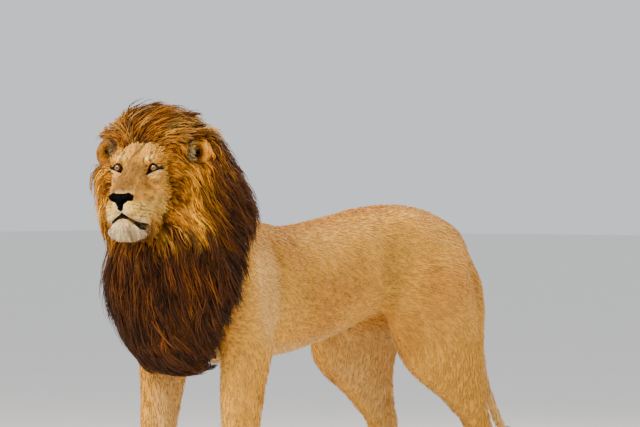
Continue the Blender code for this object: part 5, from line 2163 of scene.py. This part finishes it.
@dataclass
class NoseLeather:
    """The bare black nose with its nostrils."""

    nostril: tuple = ((0.144, 0.011, -0.111), (0.140, 0.021, -0.106), (0.130, 0.034, -0.101))
    split: tuple = ((0.150, 0.0, -0.102), (0.145, 0.0, -0.133))

    def build(self) -> Item:
        """Melt the nose's solid finer and press in the nostrils.

        Returns:
            The nose.
        """
        nose = melted_nodes("nose_leather", ("nose",), 0.0016, 0.0004)
        relax(nose, 14)
        both = mirrored(HEAD.to_head(corners_of(nose)))
        comma, along = line_distance(both, np.array(self.nostril))
        split, _ = line_distance(both, np.array(self.split))
        push_out(nose, -0.0060 * bell(comma, 0.0, 0.0050 - 0.002 * along) - 0.0018 * bell(split, 0.0, 0.0022))
        finish(nose, WetFinish("moist_nose_leather", "010101", "020202", 0.62, 0.0, 1.6, 0.0005).make())
        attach(nose, "root")
        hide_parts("nose")
        return nose


@dataclass
class Claws:
    """The horn tips that show at the front of each toe."""

    length: float = 0.019
    thick: float = 0.0036
    root: float = 0.011                   # how far behind the toe's tip a claw starts
    height: float = 0.024
    bend: float = 1.1                     # radians from root to tip

    def build(self) -> Item:
        """Model a bent cone for each toe and join them.

        Returns:
            The claws.
        """
        claws = joined([self.claw(*paw.toe(share)) for paw in PAWS for share in paw.toes], "claws")
        bpy.ops.object.transform_apply(location=True, rotation=True, scale=True)
        finish(claws, WetFinish("dark_claw_horn", "3A2A1C", "7A6248", 0.42, 0.2, 2.5, 0.0002).make())
        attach(claws, "root")
        return claws

    def claw(self, x: float, y: float) -> Item:
        """One claw on the toe whose tip lies at this place."""
        bpy.ops.object.select_all(action="DESELECT")
        bpy.ops.mesh.primitive_cone_add(vertices=10, radius1=self.thick, radius2=0.0005, depth=self.length)
        cone = bpy.context.view_layer.objects.active
        with editing(cone):
            bpy.ops.mesh.subdivide(number_cuts=2)
        places = corners_of(cone)
        turned = (places[:, 2] / self.length + 0.5) * self.bend
        run, fall = np.sin(turned) * self.length, (1.0 - np.cos(turned)) * self.length
        set_corners(cone, np.stack([x + places[:, 0] * 0.7, y + self.root - run,
                                    self.height + places[:, 1] - fall], axis=1))
        return cone


@dataclass
class Whiskers:
    """Long pale bristles that stand in the dark spots of both whisker pads."""

    skin: Item
    seed: int = 23
    columns: tuple[int, ...] = (1, 3)     # spots of each row that have a bristle
    widths: tuple[float, ...] = (0.00022, 0.00020, 0.00016, 0.00010)

    def build(self) -> Item:
        """Model tapered bristles that bend back and down.

        Returns:
            The whiskers.
        """
        rng = np.random.default_rng(self.seed)
        roots, ways, lengths = [], [], []
        for sign in (1.0, -1.0):
            for row in range(len(WHISKER_ROWS.levels)):
                for column in self.columns:
                    side = WHISKER_ROWS.first + WHISKER_ROWS.step * column
                    roots.append((0.095, sign * side, WHISKER_ROWS.heights(side)[row]))
                    ways.append((0.30, 0.85 * sign, rng.uniform(-0.45, 0.05)))
                    lengths.append(rng.uniform(0.045, 0.062) + 0.010 * column)
        root, normal, _ = Surface.of(self.skin).nearest(HEAD.to_world(np.array(roots)))
        back = HEAD.turn(np.array((-0.55, 0.0, -0.40))) * 0.55
        paths = bent(root, HEAD.turn(unit(np.array(ways))), np.array(lengths)[:, None], back,
                     (-0.03, 0.25, 0.50, 0.75, 1.0))
        count = len(paths)
        locks = Locks(paths, normal, np.ones((count, 1)) * np.array(self.widths), np.full(count, 0.0003),
                      np.ones(paths.shape))
        item = TuftMaker().build("whiskers", locks, self.skin)
        item.data.materials.append(WetFinish("pale_whisker_bristle", "B8955C", "D8BC88", 0.45, 0.0, 3.0,
                                             0.0001).make())
        return item


# ---------------------------------------------------------------- the studio
@dataclass
class Studio:
    """Plain pale floor, soft light and a long lens."""

    bearing: float = 42.0                 # degrees from straight ahead of the animal, to its left
    range: float = 12.0
    height: float = 1.14
    side_step: float = 0.554              # the view's middle lies this far right of the eyes
    lens: float = 225.0
    drop: float = 0.437                   # degrees that the lens looks down
    target: tuple[float, float, float] = (0.0, -0.2, 0.9)         # where the lamps point
    sky: tuple[str, float] = ("E3E6EA", 1.05)                     # colour and strength
    # Name, steps across, toward the camera and up from the target, size, watts and colour
    lamps: tuple = (
        ("key", (-3.2, 3.4, 3.6), 1.8, 500.0, "FFEFD6"),
        ("fill", (4.0, 3.0, 1.6), 3.0, 60.0, "F4F2F0"),
        ("rim", (2.4, -3.6, 3.2), 1.6, 260.0, "FFE9CC"),
    )

    def build(self) -> None:
        """Set floor, light, sky and camera."""
        self.floor()
        self.lights()
        self.camera()

    def directions(self) -> tuple[Vector, Vector]:
        """The view's directions on the floor: to its right, and away from the camera."""
        turn = math.radians(self.bearing)
        return Vector((math.cos(turn), math.sin(turn), 0.0)), Vector((-math.sin(turn), math.cos(turn), 0.0))

    def floor(self) -> None:
        """A wide pale floor."""
        bpy.ops.object.select_all(action="DESELECT")
        bpy.ops.mesh.primitive_plane_add(size=120.0, location=(0.0, 0.0, 0.0))
        floor = bpy.context.view_layer.objects.active
        floor.name = "floor"
        material, tree, shader = new_material("matt_studio_floor")
        cloud = add_node(tree, "TexNoise", inputs={"Vector": place_on(tree), "Scale": 3.0, "Detail": 2.0})
        fill(tree, shader, {"Base Color": toned(tree, cloud.outputs["Fac"], srgb("E9E7E3"), srgb("EFEDEA")),
                            "Roughness": 0.9})
        floor.data.materials.append(material)

    def lights(self) -> None:
        """A large key from the animal's front left, a rim from behind and an even sky."""
        right, away = self.directions()
        for name, (across, toward, up), size, power, tint in self.lamps:
            offset = across * right - toward * away + up * Vector((0.0, 0.0, 1.0))
            data = bpy.data.lights.new(name, "AREA")
            data.size, data.energy, data.color = size, power, srgb(tint)
            lamp = link(bpy.data.objects.new(name, data))
            lamp.location = Vector(self.target) + offset
            lamp.rotation_mode = "QUATERNION"
            lamp.rotation_quaternion = (-offset).to_track_quat("-Z", "Y")
        world = bpy.data.worlds.new("pale_sky")
        bpy.context.scene.world = world
        world.use_nodes = True
        fill(world.node_tree, world.node_tree.nodes["Background"], {
            "Color": (*srgb(self.sky[0]), 1.0), "Strength": self.sky[1]})

    def camera(self) -> None:
        """A long lens at eye height, to the animal's left front."""
        right, away = (np.array(direction) for direction in self.directions())
        eyes = HEAD.axes()[0]
        spot = right * (eyes @ right + self.side_step) + away * (eyes @ away - self.range)
        data = bpy.data.cameras.new("long_lens")
        data.lens, data.sensor_width, data.clip_end = self.lens, 36.0, 200.0
        camera = link(bpy.data.objects.new("camera", data))
        camera.location = (spot[0], spot[1], self.height)
        camera.rotation_euler = (math.pi / 2 - math.radians(self.drop), 0.0, math.radians(self.bearing))
        bpy.context.scene.camera = camera


def main() -> None:
    """Build the lion's visible pieces and report each one."""
    logging.basicConfig(level=logging.INFO, format="%(message)s")
    Studio().build()
    skin = Skin().build()
    eyes = [Eye(side).build() for side in SIDES]
    fine = [NoseLeather().build(), Claws().build(), Whiskers(skin).build()]
    for piece in (skin, *eyes, *fine, *Coat(skin).build()):
        LOG.info("%s: %d faces", piece.name, len(piece.data.polygons))


if __name__ == "__main__":
    main()
